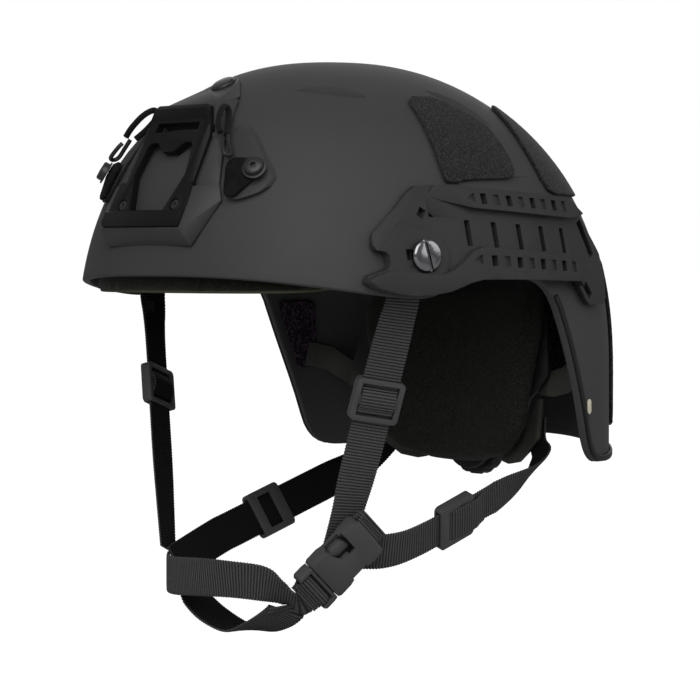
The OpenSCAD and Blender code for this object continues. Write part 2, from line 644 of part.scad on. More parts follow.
// Lanyards: an elastic loop from the shroud, its hook, and the webbing tab at the anchor
hook_high = on_front(37.8, 69, 7.8);
hook_low = on_front(43.6, 61.6, 7.9);
module lanyard_tab() {
    color(black) hull() for (p = [[anchor_x - 1.5, anchor_z, 4.6], [45, 55.8, 3.8], [48.8, 45, 4]])
        aim(on_front(p[0], p[1], anchor_t + seat), front_normal(p[0], p[1]))
            translate([0, 0, seat]) cylinder(h = tab_t, r = p[2], $fn = 32);
}
module lanyard_tab_left() lanyard_tab();
module lanyard_tab_right() mirror([1, 0, 0]) lanyard_tab();
module lanyard_hook() {
    color(black) {
        hull() {
            translate(hook_high) sphere(2.1, $fn = 16);
            translate(hook_low) sphere(2.6, $fn = 16);
        }
    }
}
module lanyard_hook_left() lanyard_hook();
module lanyard_hook_right() mirror([1, 0, 0]) lanyard_hook();
lanyard_route = [on_front(34.8, 70.6, 5.4), on_front(31.2, 74.8, 4.6), on_front(28, 80, 4.8),
    on_front(26.8, 83.4, 6.4), on_front(27.2, 84.4, 8.8), on_front(29.6, 81.6, 10.4),
    on_front(33, 76, 10.6), on_front(36, 71.6, 9.8)];
module lanyard_cord() color(black) cord(spline(lanyard_route, 3), lanyard_d);
module lanyard_cord_left() lanyard_cord();
module lanyard_cord_right() mirror([1, 0, 0]) lanyard_cord();

// Loop patches
side_patch_rows = [[48.4, -21, -14], [49.8, -22, -11], [51, -22.3, 20], [52.4, -22.4, 25.4],
    [55, -22.5, 27.2], [60, -22.4, 27.6], [68, -21.8, 26.2], [76, -21.2, 22.8], [83, -20.8, 18],
    [87.5, -20.2, 14], [89.8, -17, 10], [90.4, -13, 6]];
rear_patch_rows = [[44, 118, 144], [46, 115, 147], [52, 114.4, 148], [60, 114.8, 149],
    [68, 115.8, 150], [76, 118, 151], [83, 121, 152], [87, 124.5, 151], [88.5, 128, 148]];
back_patch_rows = [[-72, 142, 218], [-70, 138.5, 221.5], [-62, 136.6, 223.4], [-50, 136.4, 223.6],
    [-40, 136.4, 223.6], [-31, 136.4, 223.6], [-22, 136.4, 223.6], [-14, 136.4, 223.6], [-5, 136.6, 223.4],
    [4, 136.8, 223.2], [10, 137.6, 222.4], [14, 142, 218]];
module loop_patch_side_left() color(loop_grey) patch(side_patch_rows, side_spot, seat, patch_t + seat, 5);
module loop_patch_side_right() mirror([1, 0, 0]) loop_patch_side_left();
module loop_patch_rear_left() color(loop_grey) patch(rear_patch_rows, round_spot, seat, patch_t + seat, 6);
module loop_patch_rear_right() mirror([1, 0, 0]) loop_patch_rear_left();
module loop_patch_back() color(loop_grey) patch(back_patch_rows, round_spot, seat + 0.15, patch_t + seat, 20);

// Inside: a headband round the wall, and pads that swell between drawn-in edges
liner = -wall - 0.5;            // outer face of what lies against the wall
pad_face = liner - band_t - seat - 0.4;
pad_rim = 3;
function swell(a, b) = sqrt((1 - pow(abs(a), 5))*(1 - pow(abs(b), 5)));
module round_pad(u_mid, u_half, z_mid, z_half, t, cols, rows) {
    function spot(a, b, d) = skin(u_mid + u_half*a*(1 - 0.06*pow(b, 4)), z_mid + z_half*b*(1 - 0.22*pow(a, 8)), d);
    skin_solid([for (i = [0:rows]) let(b = 2*i/rows - 1) [for (j = [0:cols]) let(a = 2*j/cols - 1)
            spot(a, b, pad_face)]],
        [for (i = [0:rows]) let(b = 2*i/rows - 1) [for (j = [0:cols]) let(a = 2*j/cols - 1)
            spot(a, b, pad_face - pad_rim - (t - pad_rim)*swell(a, b))]]);
}
module headband() {
    color(black) patch([[26, -150, 150], [32, -150, 150], [38, -150, 150]], round_spot, liner - 0.4 - band_t, liner - 0.4, 60);
}
module brow_pad() color(olive) round_pad(0, 59, 16.5, 19.5, brow_pad_t, 20, 6);
module side_pad_left() color(olive) round_pad(98, 21, 24, 15, side_pad_t, 10, 6);
module side_pad_right() mirror([1, 0, 0]) side_pad_left();
module rear_pad() color(olive) round_pad(180, 30, 44, 19, side_pad_t, 12, 6);

crown_pad_s = 0.4;
function crown_z(s, d) = waist_z + (crown_h - waist_z + d)*pow(1 - pow(s, side_q), 1/side_q);
module crown_pad() {
    outer = -wall - 0.8;
    steps = [0.1, 0.4, 0.65, 0.85, 1];
    sides = 24;
    function ring(k, d) = [for (i = [0:sides - 1]) skin(i*360/sides, crown_z(k*crown_pad_s, d), d)];
    color(olive) ring_solid(concat(
        [for (k = steps) ring(k, outer - pad_rim - (crown_pad_t - pad_rim)*swell(0, k))],
        [for (i = [4:-1:0]) ring(steps[i], outer)]));
}

// Nape cradle: a curved plate held by two arms, with its pad, brackets, plugs and dial
function nape_y(x, z) = mix(84, 94, (z + 90)/90) - 14*pow(x/65, 2);
function on_nape(x, z, d) = [x, nape_y(x, z) + d, z];
plate_t = 2.4;
plate_rows = [[-84, 32], [-78, 43], [-67, 49], [-58, 54], [-53, 63], [-46, 73], [-38, 72], [-24, 67.5], [-4, 63.5],
    [2, 58]];
module nape_cradle() {
    color(black) skin_solid(
        [for (r = plate_rows) [for (j = [8:-1:-8]) on_nape(r[1]*j/8, r[0], seat + plate_t)]],
        [for (r = plate_rows) [for (j = [8:-1:-8]) on_nape(r[1]*j/8, r[0], seat)]]);
}
pad_rows = [[-nape_drop + 2.5, 24], [-nape_drop + 6, 40], [-nape_drop + 12, 48], [-72, 54], [-56, 57], [-40, 61],
    [-27, nape_half_w - 1], [-14, nape_half_w], [-4, nape_half_w - 2], [3, nape_half_w - 8]];
module nape_pad() {
    n = len(pad_rows) - 1;
    cols = 14;
    function row_z(i, a) = pad_rows[i][0] - (i == 0 ? 2.5 : i == 1 ? 1.5 : 0)*(1 - a*a);
    function spot(i, a, t) = on_nape(-pad_rows[i][1]*a, row_z(i, a), -t);
    function b(i) = 2*(pad_rows[i][0] - pad_rows[0][0])/(pad_rows[n][0] - pad_rows[0][0]) - 1;
    color(pad_grey) skin_solid(
        [for (i = [0:n]) [for (j = [0:cols]) spot(i, 2*j/cols - 1, 0)]],
        [for (i = [0:n]) [for (j = [0:cols])
            spot(i, 2*j/cols - 1, pad_rim + (nape_pad_t - pad_rim)*swell(2*j/cols - 1, b(i)))]]);
}

arm_w = 13;
arm_t = 1.8;
arm_back = seat + plate_t + seat + arm_t/2 + 0.6;
arm_wall = -wall - seat - arm_t/2 - 0.8;
arm_path = [on_nape(58, -49, arm_back), on_nape(68, -50, arm_back), on_nape(73.5, -50, arm_back), [80, 77.6, -48],
    [89, 75.8, -44], on_side(73.5, -41, arm_wall - 3), on_side(68, -39.4, arm_wall), on_side(63, -38.6, arm_wall)];
module hanger_arm() {
    color(shell_grey) ribbon(arm_path, [for (i = [0:len(arm_path) - 1]) [0, i < 3 ? 1/9 : 0, 1]], arm_w, arm_t);
}
module hanger_arm_left() hanger_arm();
module hanger_arm_right() mirror([1, 0, 0]) hanger_arm();

// Bracket under each lower corner: its stem lies behind the plate, and the rear strap passes behind its foot
bracket_t = 2.4;
bracket_d = seat + plate_t + seat;
bracket_cols = [[28.5, -91.5, -83], [34, -92.5, -79], [44, -91, -76], [52, -86, -71], [57.5, -82, -59], [60, -80.5, -58],
    [63.5, -78, -58]];
module cradle_bracket() {
    color(black) skin_solid(
        [for (c = bracket_cols) [for (k = [0:3]) on_nape(c[0], mix(c[1], c[2], k/3), bracket_d + bracket_t)]],
        [for (c = bracket_cols) [for (k = [0:3]) on_nape(c[0], mix(c[1], c[2], k/3), bracket_d)]]);
}
module cradle_bracket_left() cradle_bracket();
module cradle_bracket_right() mirror([1, 0, 0]) cradle_bracket();

module hook_strip() {
    color(black) patch([[-47, 162.8, 171], [-45, 162, 172], [-25, 162, 172], [-5, 162, 172], [-3, 163, 171]],
        round_spot, liner - 1.6, liner, 3);
}
module hook_strip_left() hook_strip();
module hook_strip_right() mirror([1, 0, 0]) hook_strip();
module rear_plugs() {
    color(cream) both() aim(plug_at, plug_n) rotate([0, 0, 90]) {
        translate([0, 0, -plug_deep]) linear_extrude(plug_deep + 0.4) oval(0);
        translate([0, 0, 0.2]) linear_extrude(0.6) oval(0.5);
    }
}

// Dial behind the cradle: a housing with a ribbed knob that winds the cradle in
dial_z = -79;
spindle_d = 6;
housing_t = 4.2;
dial_y = nape_y(0, dial_z) + seat + plate_t + seat;
dial_lean = atan(1/9);
module at_dial() translate([0, dial_y, dial_z]) rotate([-90 - dial_lean, 0, 0]) children();
module dial_housing() {
    color(black) at_dial() difference() {
        union() {
            cylinder(h = housing_t, d = dial_d - 5, $fn = 90);
            linear_extrude(housing_t - 1) block(66, 13, 5);
        }
        translate([0, 0, 1.4]) cylinder(h = 8, d = spindle_d + 2*turn_fit, $fn = 48);
        for (s = [-1, 1]) translate([s*26, 0, 1.2]) linear_extrude(8) block(7, 7, 2);
    }
}
module dial_knob() {
    ribs = 18;
    color(black) at_dial() difference() {
        union() {
            translate([0, 0, housing_t + run]) rotate_extrude($fn = 120) polygon([[0, 0], [dial_d/2 - 0.8, 0],
                [dial_d/2, 0.8], [dial_d/2, dial_t - 2], [dial_d/2 - 2, dial_t], [0, dial_t]]);
            translate([0, 0, 1.4 + run]) cylinder(h = housing_t, d = spindle_d, $fn = 48);
        }
        for (i = [0:ribs - 1]) rotate([0, 0, i*360/ribs]) translate([dial_d/2 + 0.8, 0, housing_t])
            cylinder(h = 20, r = 2, $fn = 16);
        translate([0, 0, housing_t + run + dial_t - 1]) cylinder(h = 4, d = dial_d - 15, $fn = 64);
    }
}

// Buckle: side release, on the wearer's left. In its frame X runs to the tab, Y across and Z out
buckle_at = [59.8, -52.4, -128.9];
buckle_turn = 36;
buckle_a = unit([0.345, 0.611, 0.71]);
buckle_b = let(v = [0.744, -0.668, 0], n = unit(v - buckle_a*(v*buckle_a)))
    cross(n, buckle_a)*cos(buckle_turn) + n*sin(buckle_turn);
module at_buckle() frame_at(buckle_at, buckle_a, buckle_b) children();
function buckle_pt(x, y, z) = buckle_at + buckle_a*x + buckle_b*y + cross(buckle_a, buckle_b)*z;
mouth = -socket_l/2;
bar_x = socket_l/2 - 2;
bar_d = 3.4;
bar_z = -1.5;      // the socket's bar sits low, behind its cover
cover_t = 1.8;
cavity_w = buckle_w - 4.4;
cavity_t = buckle_t - 3.2;
prong_t = cavity_t - 2*run;
plug_bar_x = mouth - 6.9;
module buckle_socket() {
    end = socket_l/2;
    color(buckle_grey) at_buckle() union() {
        difference() {
            linear_extrude(buckle_t, center = true) polygon([[mouth, -buckle_w/2 + 1], [mouth + 1.5, -buckle_w/2],
                [mouth + 8, -buckle_w/2], [mouth + 11, -buckle_w/2 + 0.8], [mouth + 20, -buckle_w/2 + 0.8],
                [mouth + 23, -buckle_w/2], [end - 2, -buckle_w/2], [end, -buckle_w/2 + 2],
                [end, buckle_w/2 - 2], [end - 2, buckle_w/2], [mouth + 23, buckle_w/2],
                [mouth + 20, buckle_w/2 - 0.8], [mouth + 11, buckle_w/2 - 0.8], [mouth + 8, buckle_w/2],
                [mouth + 1.5, buckle_w/2], [mouth, buckle_w/2 - 1]]);
            translate([mouth - 1, -cavity_w/2, -cavity_t/2]) cube([22.5, cavity_w, cavity_t]);
            for (s = [-1, 1]) {
                translate([mouth + 15.5, s*buckle_w/2, 0]) cube([9, 12, cavity_t], center = true);
                translate([mouth + 15.5, s*buckle_w/2, 3]) cube([9, 3.6, 6], center = true);
            }
            linear_extrude(10) polygon([[-6, 20], [-5.4, 9.8], [-2.6, 2.8], [3, 1], [6, 1.4], [6, 20]]);
            translate([end - 6.6, -web_w/2 - 0.5, -10]) cube([20, web_w + 1, 10 + buckle_t/2 - cover_t]);
            for (s = [-1, 1]) translate([end, 0, s*(buckle_t/2 + 1)]) rotate([0, s*20, 0])
                cube([14, 40, 2.6], center = true);
        }
        translate([bar_x, 0, bar_z]) rotate([90, 0, 0]) cylinder(h = web_w + 3, d = bar_d, center = true, $fn = 24);
    }
}
module buckle_plug() {
    tip = mouth + 20.5;
    w = cavity_w/2 - run;
    loop_w = web_w + 1;
    color(buckle_grey) at_buckle() {
        difference() {
            translate([mouth - run, 0, 0]) linear_extrude(buckle_t - 1, center = true)
                polygon([[0, -buckle_w/2 + 0.4], [-2.4, -buckle_w/2], [-7.4, -buckle_w/2], [-8.6, -buckle_w/2 + 1.4],
                    [-8.6, buckle_w/2 - 1.4], [-7.4, buckle_w/2], [-2.4, buckle_w/2], [0, buckle_w/2 - 0.4]]);
            translate([mouth - run - 11.4, -loop_w/2, -10]) cube([9.6, loop_w, 20]);
            for (s = [-1, 1]) translate([mouth - 10.5, 0, s*(buckle_t/2)]) rotate([0, -s*22, 0])
                cube([14, 40, 2], center = true);
        }
        translate([plug_bar_x, 0, 0]) rotate([90, 0, 0]) cylinder(h = web_w + 3, d = bar_d, center = true, $fn = 24);
        linear_extrude(prong_t, center = true) {
            for (s = [-1, 1]) polygon([[mouth - 1, s*(w - 1)], [mouth - 1, s*(w - 4)], [mouth + 11, s*(w - 3.2)],
                [mouth + 13, s*(w - 5.4)], [tip - 1, s*(w - 5.6)], [tip, s*(w - 4.6)], [tip - 0.6, s*(w - 1.6)],
                [tip - 3, s*w], [mouth + 12, s*w], [mouth + 11, s*(w - 1)]]);
            polygon([[mouth - 1, -2.2], [tip - 3, -1.6], [tip - 2, 0], [tip - 3, 1.6], [mouth - 1, 2.2]]);
        }
    }
}
ring_in = bar_d/2 + 0.4;
ring_out = ring_in + web_t;
module buckle_tab() {
    back = -buckle_t/2 - seat - 0.2;
    color(web_grey) at_buckle() rotate([90, 0, 0]) linear_extrude(web_w, center = true) {
        difference() {
            translate([bar_x, bar_z]) circle(ring_out, $fn = 32);
            translate([bar_x, bar_z]) circle(ring_in, $fn = 24);
        }
        translate([bar_x, bar_z]) polygon([[ring_in + 0.2, -web_t - 0.1], [8.2, -web_t - 0.1], [8.6, 0],
            [8.2, web_t + 0.1], [ring_in + 0.2, web_t + 0.1]]);
        polygon([[-9, back - web_t], [bar_x + 0.5, back - web_t], [bar_x + 2.2, bar_z - ring_in - 0.2],
            [bar_x, bar_z - ring_in - 0.1], [bar_x - 1.8, back], [-9, back]]);
    }
}

// Straps: points along each, with the direction of its width there
buckle_n = cross(buckle_a, buckle_b);
function lerp_path(a, b, ks) = [for (k = ks) mix(a, b, k)];
strap_in = -wall - nut_gap - nut_t - seat - 0.2 - web_t/2;
strap_top = on_side(strap_y, bolt_z, 0) + bolt_n*strap_in;
top_across = unit([-bolt_n.y, bolt_n.x, 0]);
mid_across = [0.43, 0.92, -0.08];
front_start = [strap_top.x, strap_top.y, -6];
front_end_left = buckle_pt(0.5, -1, -buckle_t/2 - web_t - 1.4 - web_t/2);
front_end_right = [-51, -71.5, -130];
strap_ks = [0, 0.1, 0.24, 0.64, 0.84, 1];
front_path_left = concat([[strap_top.x, strap_top.y, 8.6]], lerp_path(front_start, front_end_left, strap_ks));
front_path_right = concat([[-strap_top.x, strap_top.y, 8.6]],
    lerp_path([-front_start.x, front_start.y, front_start.z], front_end_right, strap_ks));
low_across = cross(buckle_n, unit(front_end_left - front_start));
front_across_left = [top_across, top_across, [0.34, 1, 0], mid_across, mid_across, low_across, low_across];
front_across_right = [mirrored([top_across])[0], mirrored([top_across])[0], [-0.34, 1, 0], [-0.42, 1, 0],
    [-0.42, 1, 0], [-0.5, 1, 0], [-0.6, 1, 0]];
module front_strap_left() color(web_grey) ribbon(front_path_left, front_across_left, web_w, web_t);
module front_strap_right() color(web_grey) ribbon(front_path_right, front_across_right, web_w, web_t);

rear_bend = [64.5, 48, -104];
rear_run_left = [61.5, -8, -125.5];
rear_run_right = [-55, -35, -128];
rear_end_left = buckle_pt(2, -5, -buckle_t/2 - 2*web_t - 3.4 - web_t/2);
rear_d = bracket_d + bracket_t + seat + web_t/2 + 0.4;
rear_across = [0.4, 0, 1];
rear_start = [on_nape(55, -70, rear_d + 0.4), on_nape(57, -80, rear_d + 0.2), [60, 80.4, -87], [63, 68, -96.5]];
start_across = [[1, -0.35, 0.3], [1, -0.35, 0.3], [1, -0.2, 0.4], [0.8, 0, 0.8]];
rear_path_left = concat(rear_start, lerp_path(rear_bend, rear_run_left, [0, 0.2, 0.9]), [[59, -24.8, -128.4], rear_end_left]);
rear_path_right = concat(mirrored(rear_start), lerp_path(mirrored([rear_bend])[0], rear_run_right, [0, 0.2, 0.85, 1]),
    [[-47.5, -62, -136], [-44.6, -71, -139]]);
module rear_strap_left() color(web_grey) ribbon(rear_path_left,
    concat(start_across, [for (i = [0:3]) rear_across], [cross(buckle_n, unit([59, -24.8, -128.4] - rear_end_left))]),
    web_w, web_t);
module rear_strap_right() color(web_grey) ribbon(rear_path_right,
    concat([for (a = start_across) [-a.x, a.y, a.z]], [for (i = [0:5]) [-0.4, 0, 1]]), web_w, web_t);

chin_path = concat(spline([[-46, -75, -142], [-36, -83, -142.5], [-22, -89, -143], [0, -92, -143.5],
    [20, -88.6, -144.2], [34, -80, -146.4], buckle_pt(mouth - 17, 0, 0)], 2), [buckle_pt(mouth - 11.6, 0, 0)]);
cup_across = [0, 0.89, 0.45];
cup_path = spline([[-27.2, -75.6, -148.8], [-21.5, -75.4, -154.2], [-9.5, -75, -159.4], [6.2, -73.6, -162.8],
    [21.1, -72, -163], [31, -71, -161.6], [38, -70, -161]], 2);
module chin_strap() {
    color(web_grey) {
        ribbon(chin_path, [for (i = [0:len(chin_path) - 1]) mix([0, 0, 1], buckle_b,
            pow(min(i/(len(chin_path) - 2), 1), 3))], web_w, web_t);
        at_buckle() rotate([90, 0, 0]) linear_extrude(web_w, center = true) {
            difference() {
                translate([plug_bar_x, 0]) circle(ring_out, $fn = 32);
                translate([plug_bar_x, 0]) circle(ring_in, $fn = 24);
            }
            polygon([[plug_bar_x - ring_in - 0.3, -web_t - 0.1], [mouth - 12, -web_t - 0.1],
                [mouth - 13, 0], [mouth - 12, web_t + 0.1], [plug_bar_x - ring_in - 0.3, web_t + 0.1]]);
            polygon([[plug_bar_x, -ring_out], [mouth - 2.6, -ring_out + 0.2], [mouth - 2.6, -ring_out + 1.4],
                [plug_bar_x, -ring_in - 0.2]]);
        }
    }
}
module chin_cup_strap() color(web_grey)
    ribbon(cup_path, [for (i = [0:len(cup_path) - 1]) cup_across], web_w, web_t);

// Sliders: each clears the webbing all round and can be pushed along its straight stretch
lock_t = 5;
module slider(l) {
    gap = web_t + 2*run + 0.5;
    inner = web_w + 2*run + 0.3;
    difference() {
        linear_extrude(lock_t, center = true) block(slider_w, l, 2.4);
        cube([inner, l + 2, gap], center = true);
        translate([1.4 - inner/2, -0.18*l, 0]) cube([inner - 2.8, 0.42*l, lock_t]);
        for (y = [-l/4, l/4]) translate([0, y, -lock_t/2]) cube([inner - 1.4, l/2 - 5, lock_t], center = true);
    }
}
module on_strap(a, b, k, across) {
    along = unit(b - a);
    w = unit(across - along*(across*along));
    frame_at(mix(a, b, k), w, along) children();
}
ladder_ks = [0.4, 0.375];
glide_k = 0.52;
module ladder_lock_left() color(buckle_grey)
    on_strap(front_start, front_end_left, ladder_ks[0], mid_across) slider(slider_l);
module ladder_lock_right() color(buckle_grey)
    on_strap([-front_start.x, front_start.y, front_start.z], front_end_right, ladder_ks[1], [-0.42, 1, 0]) slider(slider_l);
module tri_glide_left() color(buckle_grey)
    on_strap(rear_bend, rear_run_left, glide_k + 0.03, rear_across) slider(slider_l + 2);
module tri_glide_right() color(buckle_grey)
    on_strap(mirrored([rear_bend])[0], rear_run_right, glide_k + 0.04, [-0.4, 0, 1]) slider(slider_l + 2);

shell();
rear_edge_trim();
rail_left();
rail_right();
temple_bolts();
temple_nuts();
shroud_frame();
shroud_insert();
shroud_top_bolt();
shroud_screws();
anchor_plate_left();
anchor_plate_right();
anchor_bolts();
lanyard_tab_left();
lanyard_tab_right();
lanyard_hook_left();
lanyard_hook_right();
lanyard_cord_left();
lanyard_cord_right();
loop_patch_side_left();
loop_patch_side_right();
loop_patch_rear_left();
loop_patch_rear_right();
loop_patch_back();
headband();
brow_pad();
crown_pad();
side_pad_left();
side_pad_right();
rear_pad();
hook_strip_left();
hook_strip_right();
hanger_arm_left();
hanger_arm_right();
rear_plugs();
nape_cradle();
nape_pad();
cradle_bracket_left();
cradle_bracket_right();
dial_housing();
dial_knob();
front_strap_left();
front_strap_right();
ladder_lock_left();
ladder_lock_right();
rear_strap_left();
rear_strap_right();
tri_glide_left();
tri_glide_right();
chin_strap();
chin_cup_strap();
buckle_plug();
buckle_socket();
buckle_tab();
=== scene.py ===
# Combat helmet in Blender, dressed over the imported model.
# +X is the wearer's left, -Y the front and +Z up. Forms are worked out in millimetres.
import json
import math

import bpy
from mathutils import Matrix, Vector, noise


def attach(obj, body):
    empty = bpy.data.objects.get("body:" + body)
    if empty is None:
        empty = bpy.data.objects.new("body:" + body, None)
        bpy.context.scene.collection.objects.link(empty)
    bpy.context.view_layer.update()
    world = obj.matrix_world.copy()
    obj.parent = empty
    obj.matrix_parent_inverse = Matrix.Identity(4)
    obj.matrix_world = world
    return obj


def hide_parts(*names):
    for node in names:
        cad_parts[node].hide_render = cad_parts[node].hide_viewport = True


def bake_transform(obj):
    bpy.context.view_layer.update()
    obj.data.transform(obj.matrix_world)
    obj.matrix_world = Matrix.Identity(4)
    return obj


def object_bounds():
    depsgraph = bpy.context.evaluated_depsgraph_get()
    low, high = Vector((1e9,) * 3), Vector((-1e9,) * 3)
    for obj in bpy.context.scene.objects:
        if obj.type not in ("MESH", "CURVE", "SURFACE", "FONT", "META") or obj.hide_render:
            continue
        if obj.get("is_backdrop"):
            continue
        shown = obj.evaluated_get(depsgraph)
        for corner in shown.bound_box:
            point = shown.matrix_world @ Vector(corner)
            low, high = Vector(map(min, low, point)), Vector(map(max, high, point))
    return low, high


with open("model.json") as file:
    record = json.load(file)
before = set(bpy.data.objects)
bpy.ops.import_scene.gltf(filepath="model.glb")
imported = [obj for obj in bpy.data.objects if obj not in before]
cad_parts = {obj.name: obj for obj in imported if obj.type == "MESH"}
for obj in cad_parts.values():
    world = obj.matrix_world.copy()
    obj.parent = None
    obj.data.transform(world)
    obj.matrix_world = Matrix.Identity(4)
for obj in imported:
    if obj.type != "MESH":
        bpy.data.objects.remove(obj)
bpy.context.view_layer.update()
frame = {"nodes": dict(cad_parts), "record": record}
bodies = frame["record"]["behaviour"]["bodies"]
bodyOf = {node: body for body, members in bodies.items() for node in members}
slotOf = {part["node"]: part["material_slot"] for part in frame["record"]["subparts"]}
mm = 0.001


# Small helpers for the operators
def pick(obj):
    bpy.ops.object.select_all(action="DESELECT")
    obj.select_set(True)
    bpy.context.view_layer.objects.active = obj


def nameIt(name):
    obj = bpy.context.object
    obj.name = name
    obj.data.name = name
    return obj


def settle(obj):
    pick(obj)
    bpy.ops.object.transform_apply(location=True, rotation=True, scale=True)
    return obj


def useModifier(obj, kind, **settings):
    pick(obj)
    modifier = obj.modifiers.new(kind.title(), kind)
    for key, value in settings.items():
        setattr(modifier, key, value)
    bpy.ops.object.modifier_apply(modifier=modifier.name)
    return obj


def editAll(obj, *steps):
    pick(obj)
    bpy.ops.object.mode_set(mode="EDIT")
    bpy.ops.mesh.select_all(action="SELECT")
    for step in steps:
        step()
    bpy.ops.object.mode_set(mode="OBJECT")
    return obj


def mergeClose(distance):
    bpy.ops.mesh.remove_doubles(threshold=distance * mm)


def outward():
    bpy.ops.mesh.normals_make_consistent(inside=False)


def roundEdges(obj, width, angle, segments=2, clamp=True):
    limits = {"limit_method": "ANGLE", "angle_limit": math.radians(angle), "use_clamp_overlap": clamp}
    return useModifier(obj, "BEVEL", width=width * mm, segments=segments, **limits)


def smooth(obj, angle):
    pick(obj)
    bpy.ops.object.shade_smooth_by_angle(angle=math.radians(angle))
    return obj


# Camera at the photograph's angle
cameraPlace = {
    "azimuth": 48.10,
    "elevation": 1.73,
    "distance": 1.5063,
    "lens": 154.47,
    "targetAside": 0.00367,
    "targetHeight": -0.0332,
}


def makeCamera(c):
    az = math.radians(c["azimuth"])
    el = math.radians(c["elevation"])
    right = Vector((math.cos(az), math.sin(az), 0))
    back = Vector((math.sin(az) * math.cos(el), -math.cos(az) * math.cos(el), math.sin(el)))
    target = right * c["targetAside"] + Vector((0, 0, c["targetHeight"]))
    bpy.ops.object.camera_add(location=target + back * c["distance"])
    camera = nameIt("camera")
    camera.data.sensor_width = 36
    camera.data.lens = c["lens"]
    camera.data.clip_end = 40
    camera.rotation_euler = back.to_track_quat("Z", "Y").to_euler()
    bpy.context.scene.camera = camera


makeCamera(cameraPlace)
print("camera placed")


# Materials
def tone(hexText):
    parts = [int(hexText[i : i + 2], 16) / 255 for i in (1, 3, 5)]
    linear = [p / 12.92 if p <= 0.04045 else ((p + 0.055) / 1.055) ** 2.4 for p in parts]
    return (*linear, 1)


def addNode(tree, kind, place, inputs=None, **settings):
    node = tree.nodes.new(kind)
    node.location = place
    for key, value in settings.items():
        setattr(node, key, value)
    for key, value in (inputs or {}).items():
        if isinstance(value, bpy.types.NodeSocket):
            tree.links.new(value, node.inputs[key])
        else:
            node.inputs[key].default_value = value
    return node


def perSize(sizeInMm):
    return 1000 / sizeInMm  # texture scale whose features are about this big, on Object coordinates


def newMaterial(name, roughness, metallic=0.0, specular=0.28, sheen=0.0):
    material = bpy.data.materials.new(name)
    material.use_nodes = True
    tree = material.node_tree
    tree.nodes.clear()
    output = addNode(tree, "ShaderNodeOutputMaterial", (600, 0))
    surface = {
        "Roughness": roughness,
        "Metallic": metallic,
        "IOR": 1.5,
        "Specular IOR Level": specular,
        "Sheen Weight": sheen,
        "Sheen Roughness": 0.5,
    }
    shader = addNode(tree, "ShaderNodeBsdfPrincipled", (300, 0), surface)
    tree.links.new(shader.outputs["BSDF"], output.inputs["Surface"])
    return material, tree, shader


def mathNode(tree, place, operation, *values):
    return addNode(tree, "ShaderNodeMath", place, dict(enumerate(values)), operation=operation).outputs[0]


def noiseNode(tree, place, where, size, **more):
    inputs = {"Vector": where, "Scale": perSize(size), **more}
    return addNode(tree, "ShaderNodeTexNoise", place, inputs).outputs["Fac"]


def objectPlace(tree):
    return addNode(tree, "ShaderNodeTexCoord", (-1100, 0)).outputs["Object"]


def addBump(tree, shader, height, strength, depth, **more):
    inputs = {"Height": height, "Strength": strength, "Distance": depth * mm, **more}
    bump = addNode(tree, "ShaderNodeBump", (0, -260), inputs)
    tree.links.new(bump.outputs["Normal"], shader.inputs["Normal"])


def mixTones(tree, place, factor, dark, light, low=0.3, high=0.7):
    ramp = addNode(tree, "ShaderNodeValToRGB", place, {"Fac": factor})
    ramp.color_ramp.elements[0].position = low
    ramp.color_ramp.elements[0].color = tone(dark)
    ramp.color_ramp.elements[1].position = high
    ramp.color_ramp.elements[1].color = tone(light)
    return ramp.outputs["Color"]


# Grain: how much it changes the shine, how far edges look rounded, and how strongly it shows
grainShare = {"shine": 0.06, "edge": 0.35, "bump": 0.5}


# A moulded or painted surface: a fine grain in the bump, and a slow change of tone over the piece
def grained(name, dark, light, roughness, grain, depth, patches=24, **shading):
    material, tree, shader = newMaterial(name, roughness, **shading)
    where = objectPlace(tree)
    slow = noiseNode(tree, (-600, 200), where, patches, Detail=3.0)
    fine = noiseNode(tree, (-600, -200), where, grain, Detail=2.0)
    both = mathNode(tree, (-400, 100), "ADD", slow, fine)
    half = mathNode(tree, (-250, 100), "MULTIPLY", both, 0.5)
    tree.links.new(mixTones(tree, (-50, 200), half, dark, light), shader.inputs["Base Color"])
    change = grainShare["shine"]
    span = {"Value": fine, "To Min": roughness - change, "To Max": roughness + change}
    shine = addNode(tree, "ShaderNodeMapRange", (-50, -40), span)
    tree.links.new(shine.outputs["Result"], shader.inputs["Roughness"])
    edge = {"Radius": grainShare["edge"] * mm}
    rounded = addNode(tree, "ShaderNodeBevel", (-250, -420), edge, samples=4)
    addBump(tree, shader, fine, grainShare["bump"], depth, Normal=rounded.outputs["Normal"])
    return material


# Pile: how much larger its tufts are than its threads, its height, and where its tones change
pile = {"loose": 2.2, "top": 0.9, "span": (0.18, 0.48), "specular": 0.12, "bump": 0.8}


# Pile, knit or felt: small blobs of thread, seen in both tone and bump
def fuzzy(name, dark, light, roughness, thread, depth, **shading):
    material, tree, shader = newMaterial(name, roughness, specular=pile["specular"], **shading)
    where = objectPlace(tree)
    spots = {"Vector": where, "Scale": perSize(thread)}
    cells = addNode(tree, "ShaderNodeTexVoronoi", (-800, 200), spots, feature="SMOOTH_F1")
    loose = noiseNode(tree, (-800, -150), where, thread * pile["loose"], Detail=5.0, Roughness=0.7)
    blobs = mathNode(tree, (-600, 200), "SUBTRACT", pile["top"], cells.outputs["Distance"])
    total = mathNode(tree, (-450, 100), "MULTIPLY", blobs, loose)
    tones = mixTones(tree, (-150, 200), total, dark, light, *pile["span"])
    tree.links.new(tones, shader.inputs["Base Color"])
    addBump(tree, shader, total, pile["bump"], depth)
    return material


# Weave: how much its ribs, thread crossings and loose fibres change its tone, and the fibres' size
weave = {
    "ribs": 0.32,
    "crossings": 0.14,
    "loose": 0.35,
    "shift": -0.17,
    "fray": 1.2,
    "specular": 0.14,
    "bump": 0.9,
}


